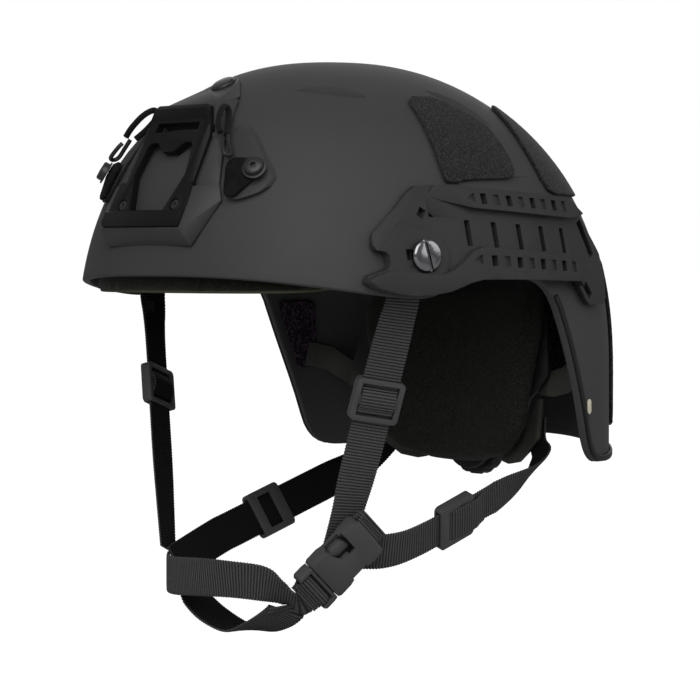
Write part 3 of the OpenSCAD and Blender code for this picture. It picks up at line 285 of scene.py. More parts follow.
# Woven band: ribs across its width and warp threads along it, on the piece's own UV in millimetres
def woven(name, dark, light, roughness, rib, warp, depth, **shading):
    material, tree, shader = newMaterial(name, roughness, specular=weave["specular"], **shading)
    uv = addNode(tree, "ShaderNodeUVMap", (-1300, 0), uv_map="lengths").outputs["UV"]
    part = addNode(tree, "ShaderNodeSeparateXYZ", (-1150, 0), {"Vector": uv})
    along = mathNode(tree, (-950, 150), "MULTIPLY", part.outputs["X"], 2 * math.pi / rib)
    across = mathNode(tree, (-950, -50), "MULTIPLY", part.outputs["Y"], 2 * math.pi / warp)
    ribs = mathNode(tree, (-800, 150), "SINE", along)
    threads = mathNode(tree, (-800, -50), "SINE", across)
    crossing = mathNode(tree, (-650, 0), "MULTIPLY", ribs, threads)
    ribHalf = mathNode(tree, (-650, 180), "MULTIPLY_ADD", ribs, weave["ribs"], 0.5)
    crossed = mathNode(tree, (-500, 100), "MULTIPLY_ADD", crossing, weave["crossings"], ribHalf)
    loose = noiseNode(tree, (-700, -300), objectPlace(tree), weave["fray"], Detail=3.0)
    spread = mathNode(tree, (-350, 60), "MULTIPLY_ADD", loose, weave["loose"], weave["shift"])
    total = mathNode(tree, (-250, 100), "ADD", crossed, spread)
    tree.links.new(mixTones(tree, (-80, 200), total, dark, light), shader.inputs["Base Color"])
    addBump(tree, shader, total, weave["bump"], depth)
    return material


materials = {
    # Textured coating sprayed on the composite shell: flat, with a fine pebbled grain
    "coated_composite": grained(
        "sprayed coating on composite", "#383839", "#404041", 0.66, 0.7, 0.05, patches=60
    ),
    # Extruded rubber edging: darker and a little shinier than the coating
    "edge_rubber": grained("extruded rubber", "#101011", "#161617", 0.55, 0.6, 0.02),
    # Glass-filled nylon of the rails: matt, moulded, with a fine spark grain
    "rail_polymer": grained("glass-filled nylon", "#29292a", "#303031", 0.55, 0.5, 0.03),
    # Bright steel of the temple bolts: polished enough to mirror the lights
    "bright_steel": grained(
        "polished stainless steel", "#7c7c7f", "#939396", 0.15, 0.8, 0.002, metallic=1.0
    ),
    # Moulded nylon under the metal insert: smoother than the rails
    "shroud_polymer": grained("moulded nylon", "#323233", "#3a3a3b", 0.5, 0.5, 0.02),
    # Hard anodised aluminium insert: near black with a satin shine
    "black_anodised": grained(
        "hard anodised aluminium", "#0c0c0d", "#121213", 0.45, 0.4, 0.008, specular=0.18
    ),
    # Blackened steel screws
    "black_steel": grained("blackened steel", "#1a1a1c", "#252527", 0.4, 0.4, 0.01, specular=0.5),
    # Plates under the shroud's lanyards, moulded and coated like the shell
    "anchor_polymer": grained("moulded and coated nylon", "#323233", "#393939", 0.6, 0.6, 0.03),
    # Braided sheath of the elastic cord
    "cord": woven("braided polyester sheath", "#080809", "#151516", 0.8, 1.0, 1.6, 0.12, sheen=0.05),
    # Small moulded hook: smooth acetal that catches the light
    "hook_polymer": grained("acetal", "#202021", "#2a2a2b", 0.35, 0.5, 0.01),
    # Brushed loop pile stuck to the shell: a mottled fuzz
    "loop_fabric": fuzzy("brushed nylon loop pile", "#1a1a1b", "#434344", 0.95, 0.6, 0.3, sheen=0.08),
    # Woven band inside the shell
    "band_fabric": woven("woven polyester band", "#0c0c0c", "#181818", 0.9, 1.4, 1.2, 0.1),
    # Knitted, slightly olive cover of the comfort pads
    "pad_fabric": fuzzy("knitted pad cover", "#12120d", "#26261d", 0.95, 0.8, 0.2, sheen=0.1),
    # Smooth, brushed cover of the nape pad
    "nape_fabric": fuzzy("brushed jersey cover", "#1f1f1d", "#373733", 0.9, 0.6, 0.1, sheen=0.06),
    # Moulded hook strips, with a faint purple-brown speckle
    "hook_fabric": fuzzy("moulded nylon hooks", "#150f19", "#5a4b5c", 0.8, 1.1, 0.4),
    # Flexible moulded arms of the cradle
    "arm_polymer": grained("moulded polyethylene", "#34342f", "#3f3f39", 0.5, 0.6, 0.02),
    # Cream plugs in the rear lobes
    "cream_polymer": grained("moulded cream nylon", "#cdc6ac", "#dcd6c0", 0.5, 0.6, 0.02),
    # Black moulded cradle, brackets and dial
    "black_polymer": grained("moulded black nylon", "#1a1a1a", "#222222", 0.5, 0.5, 0.02),
    # Polyester webbing with ribs across its width
    "webbing": woven("woven polyester webbing", "#272728", "#4e4e4f", 0.9, 1.5, 1.3, 0.1, sheen=0.05),
    # Side-release buckle and sliders: moulded acetal with a soft shine
    "buckle_polymer": grained("moulded acetal", "#414142", "#4a4a4b", 0.48, 0.5, 0.015),
}
# Finishes that share another finish's slot: edgings, thread and a painted shade on the webbing's inner face
edgings = {
    # Bound edge of the pads: a pale olive tape that catches the light
    "binding": woven("woven binding tape", "#3b3a2c", "#56543f", 0.9, 0.9, 0.8, 0.05),
    # Painted shade on the face of the webbing that lies towards the head: near black and smooth, standing in
    # for the shade that falls there
    "backing": woven("painted shade on the inner face of the webbing", "#0a0a0b", "#171718", 0.9, 1.5, 1.3, 0.06),
    # Bonded polyester sewing thread
    "thread": grained("bonded sewing thread", "#121213", "#1c1c1d", 0.6, 0.3, 0.01),
}
print("materials made")


# Gives a piece its finish and ties it to its body, or with a blend only bakes its place into its mesh; hides
# the imported nodes that it stands for
def fitOn(obj, *nodes, body=None, slot=None, blend=None, look=None):
    obj.data.materials.clear()
    slot = slot or slotOf[nodes[0]]
    obj.data.materials.append(look or materials[slot])
    if blend:
        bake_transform(obj)
    else:
        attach(obj, body or bodyOf[nodes[0]])
    if nodes:
        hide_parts(*nodes)
    return obj


# Form of the shell: superellipses in plan and in profile
shellForm = {
    "front": 129,
    "rear": 133,
    "halfWidth": 112.5,
    "crown": 110,
    "waist": -46,
    "frontPower": 2.56,
    "sidePower": 2.4,
    "rearPower": 2.29,
    "planPower": 2.64,
    "crownPower": 1.94,
    "lean": -4.1,
    "wall": 4,
    "columns": 320,
    "rows": 60,
    "edgeRound": 0.7,
}


def profilePower(frontal, share):
    power = shellForm["frontPower"] if frontal else shellForm["rearPower"]
    return shellForm["sidePower"] + (power - shellForm["sidePower"]) * share


def riseAt(z, d):
    return min(max((z - shellForm["waist"]) / (shellForm["crown"] - shellForm["waist"] + d), 0), 1)


def planPower(t):
    return shellForm["planPower"] + (shellForm["crownPower"] - shellForm["planPower"]) * t**3


def shrinkAt(t, power):
    return max(1 - t**power, 0) ** (1 / power)


# Point at the angle u from the front, at height z, on the face d outside the shell
def skin(u, z, d=0):
    c = math.cos(math.radians(u))
    s = math.sin(math.radians(u))
    t = riseAt(z, d)
    k = shrinkAt(t, profilePower(c > 0, c * c))
    p = planPower(t)
    r = (abs(c) ** p + abs(s) ** p) ** (-1 / p)
    length = (shellForm["front"] if c > 0 else shellForm["rear"]) + d
    x = (shellForm["halfWidth"] + d) * k * r * s
    return Vector((x, -length * k * r * c + shellForm["lean"] * t**4, z))


# Point of the left side at the distance y and height z, on the face d outside the shell
def onSide(y, z, d=0):
    t = riseAt(z, d)
    y2 = y - shellForm["lean"] * t**4
    length = (shellForm["front"] if y2 < 0 else shellForm["rear"]) + d
    x = 100
    for _ in range(5):
        share = (y2 / length) ** 2 / ((y2 / length) ** 2 + (x / shellForm["halfWidth"]) ** 2)
        k = shrinkAt(t, profilePower(y2 < 0, share))
        p = planPower(t)
        x = (shellForm["halfWidth"] + d) * k * max(1 - (abs(y2) / (length * k)) ** p, 0) ** (1 / p)
    return Vector((x, y, z))


# Point of the front at the distance x and height z, on the face d outside the shell
def onFront(x, z, d=0):
    t = riseAt(z, d)
    length = shellForm["front"] + d
    y = -100
    for _ in range(5):
        share = (y / length) ** 2 / ((y / length) ** 2 + (x / shellForm["halfWidth"]) ** 2)
        k = shrinkAt(t, profilePower(True, share))
        p = planPower(t)
        y = -length * k * max(1 - (abs(x) / ((shellForm["halfWidth"] + d) * k)) ** p, 0) ** (1 / p)
    return Vector((x, y + shellForm["lean"] * t**4, z))


# Curve from a to d that b and c pull on, without its last point
def arc(a, b, c, d, n):
    points = []
    for i in range(n):
        k = i / n
        m = 1 - k
        shares = (m**3, 3 * m * m * k, 3 * m * k * k, k**3)
        points.append([sum(share * p[j] for share, p in zip(shares, (a, b, c, d))) for j in (0, 1)])
    return points


# Edge of the shell in side view, from the brim back to the nape
edgeLine = (
    arc((-150, 7.5), (-110, 3.5), (-70, -5.8), (-46, -5.8), 16)
    + arc((-46, -5.8), (-34, -5.8), (-28, 3), (-14, 3), 12)
    + [[-14, 3]]
    + arc((22, 3), (34, 3), (40, -6), (43, -14), 14)
    + arc((43, -14), (47, -23), (60, -54), (65, -72), 14)
    + arc((65, -72), (68, -83), (74, -88), (82, -88), 14)
    + [[y, -88 + 16 * ((y - 82) / 68) ** 2] for y in range(82, 151, 4)]
)


def edgeHeight(y):
    for a, b in zip(edgeLine, edgeLine[1:]):
        if a[0] <= y <= b[0]:
            return a[1] + (b[1] - a[1]) * (y - a[0]) / (b[0] - a[0])
    return edgeLine[0][1] if y < edgeLine[0][0] else edgeLine[-1][1]


def edgeOn(u):
    z = 0
    for _ in range(12):
        z = 0.5 * z + 0.5 * edgeHeight(skin(u, z).y)
    return z


def addGrid(name, columns, rows, place):
    bpy.ops.mesh.primitive_grid_add(x_subdivisions=columns, y_subdivisions=rows, size=2)
    obj = nameIt(name)
    for v in obj.data.vertices:
        v.co = place((v.co.x + 1) / 2, (v.co.y + 1) / 2) * mm
    return obj


# Lens-shaped vents: where each is centred, how far it turns, their size and the cutter's place
vents = {
    "front": {"at": (50, -52), "turn": 48},
    "rear": {"at": (69, 14), "turn": 62},
    "length": 34,
    "width": 7,
    "taper": 1.5,
    "cutDeep": 110,
    "cutHeight": 115,
}


def makeVentCutter(at, turn, side):
    bpy.ops.mesh.primitive_cylinder_add(vertices=48, radius=1, depth=vents["cutDeep"])
    cutter = nameIt("ventCutter")
    for v in cutter.data.vertices:
        x, y = v.co.x, v.co.y
        v.co.x = x * vents["length"] / 2
        v.co.y = math.copysign(abs(y) ** vents["taper"], y) * vents["width"] / 2
    cutter.scale = (mm, mm, mm)
    cutter.rotation_euler = (0, 0, math.radians(turn * side))
    cutter.location = (at[0] * side * mm, at[1] * mm, vents["cutHeight"] * mm)
    return settle(cutter)


def makeShell(s):
    edges = [edgeOn(360 * i / s["columns"]) for i in range(s["columns"] + 1)]
    degreesPerMm = 0.45

    def place(a, b):
        column = a * s["columns"]
        u = 360 * a
        foot = edges[round(column)]
        if foot < s["waist"]:
            start = (foot - s["waist"]) * degreesPerMm
        else:
            start = math.degrees(math.asin(riseAt(foot, 0) ** (s["sidePower"] / 2)))
        f = start + (90 - start) * b
        if f < 0:
            return skin(u, s["waist"] + f / degreesPerMm)
        t = math.sin(math.radians(f)) ** (2 / s["sidePower"])
        return skin(u, s["waist"] + (s["crown"] - s["waist"]) * t)

    shell = addGrid("helmetShell", s["columns"], s["rows"], place)
    editAll(shell, lambda: mergeClose(0.02), outward)
    if min(shell.data.polygons, key=lambda p: p.center.y).normal.y > 0:
        shell.data.flip_normals()
    useModifier(shell, "SOLIDIFY", thickness=s["wall"] * mm, offset=-1, use_even_offset=True)
    roundEdges(shell, s["edgeRound"], 50, segments=3, clamp=False)
    for vent in ("front", "rear"):
        for side in (1, -1):
            cutter = makeVentCutter(vents[vent]["at"], vents[vent]["turn"], side)
            useModifier(shell, "BOOLEAN", object=cutter, operation="DIFFERENCE", solver="EXACT")
            bpy.data.objects.remove(cutter)
    smooth(shell, 30)
    return fitOn(shell, "shell")


makeShell(shellForm)
print("shell made")


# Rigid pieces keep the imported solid's form: a merged copy gets rounded edges
rigidPieces = {
    "rear_edge_trim": {"round": 0.5},
    "rail_left": {"round": 0.45},
    "rail_right": {"round": 0.45},
    "temple_bolts": {"round": 0.3},
    "temple_nuts": {"round": 0.4},
    "shroud_frame": {"round": 0.6},
    "shroud_insert": {"round": 0.4},
    "shroud_top_bolt": {"round": 0.3},
    "shroud_screws": {"round": 0.15},
    "anchor_plate_left": {"round": 0.6},
    "anchor_plate_right": {"round": 0.6},
    "anchor_bolts": {"round": 0.2},
    "hanger_arm_left": {"round": 0.4, "side": 1},
    "hanger_arm_right": {"round": 0.4, "side": -1},
    "rear_plugs": {"round": 0.15},
    "nape_cradle": {"round": 0.5},
    "cradle_bracket_left": {"round": 0.5},
    "cradle_bracket_right": {"round": 0.5},
    "dial_housing": {"round": 0.4},
    "dial_knob": {"round": 0.3},
    "ladder_lock_left": {"round": 0.45},
    "ladder_lock_right": {"round": 0.45},
    "tri_glide_left": {"round": 0.45},
    "tri_glide_right": {"round": 0.45},
    "buckle_plug": {"round": 0.4},
    "buckle_socket": {"round": 0.4},
}
# Where the hanger arms bend between the cradle and the shell, on the wearer's left
armBend = ((0.0735, 0.075, -0.05), (0.098, 0.074, -0.042))
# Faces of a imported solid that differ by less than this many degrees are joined
flatWithin = 0.6


def dissolveFlat():
    bpy.ops.mesh.dissolve_limited(angle_limit=math.radians(flatWithin))


def copyNode(node, name):
    obj = bpy.data.objects.new(name, frame["nodes"][node].data.copy())
    bpy.context.scene.collection.objects.link(obj)
    return editAll(obj, lambda: mergeClose(0.005), dissolveFlat)


def pieceName(node):
    words = node.split("_")
    return words[0] + "".join(w.title() for w in words[1:])


for node, look in rigidPieces.items():
    piece = copyNode(node, pieceName(node))
    roundEdges(piece, look["round"], 38)
    smooth(piece, 30)
    if "side" in look:
        bend = [(x * look["side"], y, z) for x, y, z in armBend]
        fitOn(piece, node, blend=("cradle", "helmet", *bend))
    else:
        fitOn(piece, node)
print("rigid pieces dressed")


# Curve through the points, with the same number of steps between each two
def splineThrough(points, steps):
    out = []
    for i in range(len(points) - 1):
        a, b = points[max(i - 1, 0)], points[i]
        c, e = points[i + 1], points[min(i + 2, len(points) - 1)]
        for j in range(steps):
            k = j / steps
            bend = (2 * a - 5 * b + 4 * c - e) * k * k
            turn = (3 * b - a - 3 * c + e) * k**3
            out.append(0.5 * (2 * b + (c - a) * k + bend + turn))
    out.append(points[-1])
    return out


def lengthsAlong(path):
    total = [0]
    for a, b in zip(path, path[1:]):
        total.append(total[-1] + (b - a).length)
    return total


def setLengths(obj, lengthOf):
    layer = obj.data.uv_layers.active or obj.data.uv_layers.new()
    layer.name = "lengths"
    for loop in obj.data.loops:
        u, v = layer.data[loop.index].uv
        layer.data[loop.index].uv = lengthOf(u, v)


curveSteps = 24


# Frames spaced evenly along a path: the length so far, the place, and the ways of width and thickness
def evenFrames(points, across, spacing):
    path = splineThrough([Vector(p) for p in points], curveSteps)
    sides = splineThrough([Vector(a) for a in across], curveSteps)
    lengths = lengthsAlong(path)
    count = max(round(lengths[-1] / spacing), 6)
    spots = []
    j = 0
    for i in range(count + 1):
        s = lengths[-1] * i / count
        while j < len(lengths) - 2 and lengths[j + 1] < s:
            j += 1
        k = (s - lengths[j]) / (lengths[j + 1] - lengths[j])
        spots.append((s, path[j].lerp(path[j + 1], k), sides[j].lerp(sides[j + 1], k)))
    frames = []
    for i, (s, at, side) in enumerate(spots):
        tangent = (spots[min(i + 1, count)][1] - spots[max(i - 1, 0)][1]).normalized()
        side = (side - tangent * side.dot(tangent)).normalized()
        frames.append((s, at, side, tangent.cross(side)))
    return frames


def closeEnds():
    bpy.ops.mesh.select_all(action="DESELECT")
    bpy.ops.mesh.select_mode(type="EDGE")
    openEdges = {"use_wire": False, "use_multi_face": False, "use_non_contiguous": False}
    bpy.ops.mesh.select_non_manifold(extend=False, **openEdges)
    bpy.ops.mesh.fill()
    bpy.ops.mesh.select_mode(type="VERT")
    bpy.ops.mesh.select_all(action="SELECT")


# A closed section carried along frames, with both ends closed
def sweep(name, frames, section, around, girth=None):
    n = len(frames) - 1

    def place(a, b):
        s, at, side, out = frames[round(a * n)]
        w, t = section(s, b)
        return at + side * w + out * t

    piece = addGrid(name, n, around, place)
    setLengths(piece, lambda u, v: (frames[round(u * n)][0], v * girth if girth else section(0, v)[0]))
    editAll(piece, lambda: mergeClose(0.01), closeEnds, outward)
    return smooth(piece, 60)


# A way that no cord or rod here runs along, which starts its frames
offAxis = Vector((0.31, 0.22, 0.93))


# A round cord or rod through points, closed at its ends
def makeTube(name, points, radius, spacing=0.7, around=14):
    up = (Vector(points[1]) - Vector(points[0])).cross(offAxis)
    frames = evenFrames(points, [up] * len(points), spacing)
    side = frames[0][2]
    for i, (s, at, _, out) in enumerate(frames):
        tangent = (frames[min(i + 1, len(frames) - 1)][1] - frames[max(i - 1, 0)][1]).normalized()
        side = (side - tangent * side.dot(tangent)).normalized()
        frames[i] = (s, at, side, tangent.cross(side))

    def section(s, b):
        return radius * math.cos(2 * math.pi * b), radius * math.sin(2 * math.pi * b)

    tube = sweep(name, frames, section, around, girth=2 * math.pi * radius)
    return tube, [at * mm for _, at, _, _ in frames], frames[-1][0] * mm


def flattened(value, power):
    return math.copysign(abs(value) ** power, value)


# Webbing: a flat band whose ribs stand out on its faces and notch its edges; low powers square it off
webbing = {
    "width": 18.4,
    "thick": 1.5,
    "rib": 1.5,
    "ribHeight": 0.09,
    "notch": 0.17,
    "edgePower": 0.3,
    "facePower": 0.45,
}


def makeWebbing(name, points, across, width=webbing["width"], thick=webbing["thick"]):
    def section(s, b):
        wave = math.sin(2 * math.pi * s / webbing["rib"])
        angle = 2 * math.pi * b
        w = (width / 2 + webbing["notch"] * wave) * flattened(math.cos(angle), webbing["edgePower"])
        t = (thick / 2 + webbing["ribHeight"] * wave) * flattened(math.sin(angle), webbing["facePower"])
        return w, t

    return sweep(name, evenFrames(points, across, webbing["rib"] / 4), section, 24)


# A face within this share of straight towards the head's centre is an inner face, which gets the painted
# shade
headCentre = Vector((0, -10, -110)) * mm
facingHead = 0.25


# The face of a band that lies towards the head gets a painted shade: a near-black finish in place of its
# webbing
def paintInnerShade(band):
    band.data.materials.append(edgings["backing"])
    for face in band.data.polygons:
        if face.normal.dot((headCentre - face.center).normalized()) > facingHead:
            face.material_index = 1


straps = {
    "frontStrapLeft": {
        "node": "front_strap_left",
        "points": [(94.37, -46.75, 8.6), (94.37, -46.75, -6), (90.21, -47.09, -18.07),
                   (84.38, -47.56, -34.97), (67.73, -48.91, -83.26), (59.4, -49.58, -107.41),
                   (52.74, -50.12, -126.72)],
        "across": [(0.18, 0.98, 0), (0.18, 0.98, 0), (0.34, 1, 0), (0.43, 0.92, -0.08), (0.43, 0.92, -0.08),
                   (0.14, 0.99, -0.08), (0.14, 0.99, -0.08)],
    },
    "frontStrapRight": {
        "node": "front_strap_right",
        "points": [(-94.37, -46.75, 8.6), (-94.37, -46.75, -6), (-90.04, -49.22, -18.4),
                   (-83.96, -52.69, -35.76), (-66.61, -62.59, -85.36), (-57.94, -67.54, -110.16),
                   (-50.3, -71.9, -132.4)],
        "across": [(-0.18, 0.98, 0), (-0.18, 0.98, 0), (-0.34, 1, 0), (-0.42, 1, 0), (-0.42, 1, 0),
                   (-0.5, 1, 0), (-0.6, 1, 0)],
    },
    "rearStrapLeft": {
        "node": "rear_strap_left",
        "points": [(55, 83.45, -70), (57, 81.4, -80), (60, 80.4, -87), (63, 68, -96.5), (64.5, 48, -104),
                   (63.9, 36.8, -108.3), (61.8, -2.4, -123.35), (59, -24.8, -128.4),
                   (49.65, -45.56, -127.04)],
        "across": [(1, -0.35, 0.3), (1, -0.35, 0.3), (1, -0.2, 0.4), (0.8, 0, 0.8), (0.4, 0, 1), (0.4, 0, 1),
                   (0.4, 0, 1), (0.4, 0, 1), (0.3, -0.075, 0.915)],
        "blend": ("cradle", "helmet", (0.06, 0.0804, -0.087), (0.0636, 0.031, -0.1105)),
    },
    "rearStrapRight": {
        "node": "rear_strap_right",
        "points": [(-55, 83.45, -70), (-57, 81.4, -80), (-60, 80.4, -87), (-63, 68, -96.5), (-64.5, 48, -104),
                   (-62.6, 31.4, -108.8), (-56.42, -22.55, -124.4), (-55, -35, -128), (-47.5, -62, -136),
                   (-44.6, -71, -139)],
        "across": [(-1, -0.35, 0.3), (-1, -0.35, 0.3), (-1, -0.2, 0.4), (-0.8, 0, 0.8)] + [(-0.4, 0, 1)] * 6,
        "blend": ("cradle", "helmet", (-0.06, 0.0804, -0.087), (-0.0636, 0.031, -0.1105)),
    },
    "chinStrap": {
        "node": "chin_strap",
        "points": [(-46, -75, -142), (-36, -83, -142.5), (-22, -89, -142.2), (0, -92, -140.8),
                   (20, -88.6, -140.7), (34, -80.4, -142.4), (43, -75.8, -146.6), (48.2, -72.1, -150),
                   (50.43, -68.99, -148.18)],
        "across": [(0, 0, 1), (0, 0, 1), (0, 0, 1), (0, -0.06, 0.97), (0.02, -0.2, 0.9), (0.03, -0.3, 0.88),
                   (0.07, -0.6, 0.72), (0.085, -0.775, 0.626), (0.085, -0.775, 0.626)],
        "blend": ("helmet", "buckle_male", (-0.022, -0.089, -0.1422), (0.0482, -0.0721, -0.15)),
    },
    "cupStrap": {
        "node": "chin_cup_strap",
        "points": [(-33, -79, -142.5), (-27.2, -75.9, -149.4), (-21.5, -75.4, -155.4), (-9.5, -75, -161.8),
                   (6.2, -73.6, -166.4), (20, -72.4, -164.8), (31, -71.6, -160.6), (38.6, -71, -155.8),
                   (40.6, -72.3, -152.8)],
        "across": [(-0.5, 0.8, 0.3), (-0.35, 0.87, 0.33), (-0.35, 0.87, 0.33), (-0.3, 0.9, 0.28),
                   (-0.08, 0.98, 0.08), (0.1, 0.95, -0.25), (0.14, 0.88, -0.42), (0, 0.8, -0.6),
                   (-0.085, 0.775, -0.626)],
        "blend": ("helmet", "buckle_male", (0.0062, -0.0736, -0.1664), (0.0386, -0.071, -0.1558)),
    },
}
for name, strap in straps.items():
    band = makeWebbing(name, strap["points"], strap["across"])
    paintInnerShade(fitOn(band, strap["node"], blend=strap.get("blend")))
print("straps laid")


# Patches on the shell: each row gives a height and where the patch starts and ends there
def rowAt(rows, k):
    z = rows[0][0] + (rows[-1][0] - rows[0][0]) * k
    for a, b in zip(rows, rows[1:]):
        if a[0] <= z <= b[0]:
            f = (z - a[0]) / (b[0] - a[0])
            return z, a[1] + (b[1] - a[1]) * f, a[2] + (b[2] - a[2]) * f
    return rows[-1]


# How the pile lifts the surface: the sizes of its waves and tufts, and the tufts' share
tufts = {"wave": 1.1, "tuft": 0.5, "share": 0.6}
patchRound = 0.35


def longest(spotAt):
    return max(lengthsAlong([spotAt(i / 40, k / 8) for i in range(41)])[-1] for k in range(9)) * mm


def liftPile(patch, height, seed):
    lifted = []
    for v in patch.data.vertices:
        p = v.co / mm
        wave = noise.noise(p / tufts["wave"] + Vector((seed, 0, 0)))
        tuft = noise.noise(p / tufts["tuft"] + Vector((0, seed, 0)))
        lifted.append(v.co + v.normal * height * (wave + tufts["share"] * tuft) * mm)
    for v, spotNow in zip(patch.data.vertices, lifted):
        v.co = spotNow


# A thin patch laid on the shell, with its flat size and area
def layPatch(name, rows, spot, low, high, columns, lines, side, height, seed):
    middle = (high + low) / 2

    def place(a, b):
        z, start, end = rowAt(rows, b)
        p = spot(start + (end - start) * a, z, middle)
        return Vector((p.x * side, p.y, p.z))

    patch = addGrid(name, columns, lines, place)
    setLengths(patch, lambda u, v: (u * columns, v * lines))
    centre = patch.data.polygons[len(patch.data.polygons) // 2]
    if centre.normal.dot(centre.center) < 0:
        patch.data.flip_normals()
    wide = longest(place)
    tall = longest(lambda a, b: place(b, a))
    area = sum(face.area for face in patch.data.polygons)
    thick = (high - low) * mm
    useModifier(patch, "SOLIDIFY", thickness=thick, offset=0, use_even_offset=True)
    roundEdges(patch, (high - low) * patchRound, 60, clamp=False)
    liftPile(patch, height, seed)
    return smooth(patch, 60), {"size": (wide, tall), "area": min(area, wide * tall)}


sideRows = [(48.4, -21, -14), (49.8, -22, -11), (51, -22.3, 20), (52.4, -22.4, 25.4), (55, -22.5, 27.2),
            (60, -22.4, 27.6), (68, -21.8, 26.2), (76, -21.2, 22.6), (80.5, -20.9, 16.5), (83, -20.8, 12),
            (85, -20.6, 8), (87.5, -20.2, 3), (89.8, -17, -2), (90.4, -13, -6)]
rearRows = [(44, 118, 144), (46, 115, 147), (52, 114.4, 148), (60, 114.8, 149), (68, 115.8, 150),
            (76, 118, 151), (83, 121, 152), (87, 124.5, 151), (88.5, 128, 148)]
backRows = [(-72, 142, 218), (-70, 138.5, 221.5), (-62, 136.6, 223.4), (-50, 136.4, 223.6),
            (-5, 136.6, 223.4), (4, 136.8, 223.2), (10, 137.6, 222.4), (14, 142, 218)]
# Each kind of patch: its outline, what its distances mean, and its mesh
sidePatch = {"rows": sideRows, "spot": onSide, "columns": 84, "lines": 92}
rearPatch = {"rows": rearRows, "spot": skin, "columns": 96, "lines": 96}
backPatch = {"rows": backRows, "spot": skin, "columns": 240, "lines": 130}
patches = {
    "sidePatchLeft": ("loop_patch_side_left", sidePatch),
    "sidePatchRight": ("loop_patch_side_right", sidePatch),
    "rearPatchLeft": ("loop_patch_rear_left", rearPatch),
    "rearPatchRight": ("loop_patch_rear_right", rearPatch),
    "backPatch": ("loop_patch_back", backPatch),
}
# The faces of the patches outside the shell's own, and how high the pile lifts
loopPile = {"low": 0.35, "high": 1.9, "height": 0.07}
for name, (node, form) in patches.items():
    side = -1 if name.endswith("Right") else 1
    patch, flat = layPatch(name, side=side, seed=len(name), **form, **loopPile)
    fitOn(patch, node)
print("patches laid")


# Fabric inside the shell: the band round the wall and the strips of hooks behind the cradle
headband = {"low": 26, "high": 38, "reach": 150, "face": -5.9, "thick": 1.6, "long": 560}


def makeHeadband(h):
    def place(a, b):
        return skin(h["reach"] * (1 - 2 * a), h["low"] + (h["high"] - h["low"]) * b, h["face"])

    band = addGrid("headband", 180, 6, place)
    setLengths(band, lambda u, v: (u * h["long"], v * (h["high"] - h["low"])))
    useModifier(band, "SOLIDIFY", thickness=h["thick"] * mm, offset=0, use_even_offset=True)
    roundEdges(band, 0.5, 60, clamp=False)
    smooth(band, 50)
    return fitOn(band, "headband")


makeHeadband(headband)

hookPile = {"spot": skin, "low": -6.1, "high": -4.6, "columns": 36, "lines": 80, "height": 0.25}
hookRows = {
    "hookStrip": [(-47, 162.8, 171), (-45, 162, 172), (-25, 162, 172), (-5, 162, 172), (-3, 163, 171)],
    "sideHooks": [(-46, 116.5, 120), (-44, 115.5, 120.5), (-12, 110.5, 120), (-10, 111.5, 119)],
}
for name, rows in hookRows.items():
    for side, word in ((1, "Left"), (-1, "Right")):
        strip, flat = layPatch(name + word, rows, side=side, seed=5 + side, **hookPile)
        node = "hook_strip_" + word.lower()
        if name == "hookStrip":
            fitOn(strip, node)
        else:
            fitOn(strip, body=bodyOf[node], slot=slotOf[node])
print("band and hook strips laid")


# Pads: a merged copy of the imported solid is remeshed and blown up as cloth, with its back held still
pads = {
    "browPad": {"node": "brow_pad", "voxel": 2.4, "pressure": 5, "cap": 1.6},
    "crownPad": {"node": "crown_pad", "voxel": 2.4, "pressure": 5, "cap": 1.6},
    "sidePadLeft": {"node": "side_pad_left", "voxel": 2.2, "pressure": 5, "cap": 1.4},
    "sidePadRight": {"node": "side_pad_right", "voxel": 2.2, "pressure": 5, "cap": 1.4},
    "rearPad": {"node": "rear_pad", "voxel": 2.4, "pressure": 5, "cap": 1.4},
    "napePad": {"node": "nape_pad", "voxel": 2.4, "pressure": 4, "cap": 1.6},
}
# Where a pad's surface points away from this centre it lies against the shell and is held
padCentre = Vector((0, 0, -0.02))
facingShell = 0.2
clothSteps = 20


def blowUp(obj, pressure, cap):
    held = obj.vertex_groups.new(name="held")
    for v in obj.data.vertices:
        if v.normal.dot((v.co - padCentre).normalized()) > facingShell:
            held.add([v.index], 1.0, "ADD")
    before = [v.co.copy() for v in obj.data.vertices]
    pick(obj)
    modifier = obj.modifiers.new("Cloth", "CLOTH")
    modifier.settings.quality = 5
    modifier.settings.mass = 0.3
    modifier.settings.use_pressure = True
    modifier.settings.uniform_pressure_force = pressure
    modifier.settings.tension_stiffness = 12
    modifier.settings.bending_stiffness = 0.4
    modifier.settings.vertex_group_mass = "held"
    modifier.settings.effector_weights.gravity = 0
    modifier.point_cache.frame_start = 1
    modifier.point_cache.frame_end = clothSteps
    for step in range(1, clothSteps + 1):
        bpy.context.scene.frame_set(step)
    bpy.ops.object.modifier_apply(modifier=modifier.name)
    bpy.context.scene.frame_set(1)
    for v, rest in zip(obj.data.vertices, before):
        move = v.co - rest
        if move.length > cap * mm:
            v.co = rest + move.normalized() * cap * mm
    obj.vertex_groups.clear()


# Bound edges: a thin tape round the inner edge of each pad on the wall
bindings = {
    "browBinding": {"node": "brow_pad", "turn": (0, 59), "rise": (16.5, 19.5)},
    "sideBindingLeft": {"node": "side_pad_left", "turn": (98, 21), "rise": (24, 15)},
    "sideBindingRight": {"node": "side_pad_right", "turn": (-98, 21), "rise": (24, 15)},
    "rearBinding": {"node": "rear_pad", "turn": (180, 30), "rise": (44, 19)},
    "depth": -9.4,
    "thick": 1.5,
    "sideIn": 0.06,
    "endIn": 0.22,
}


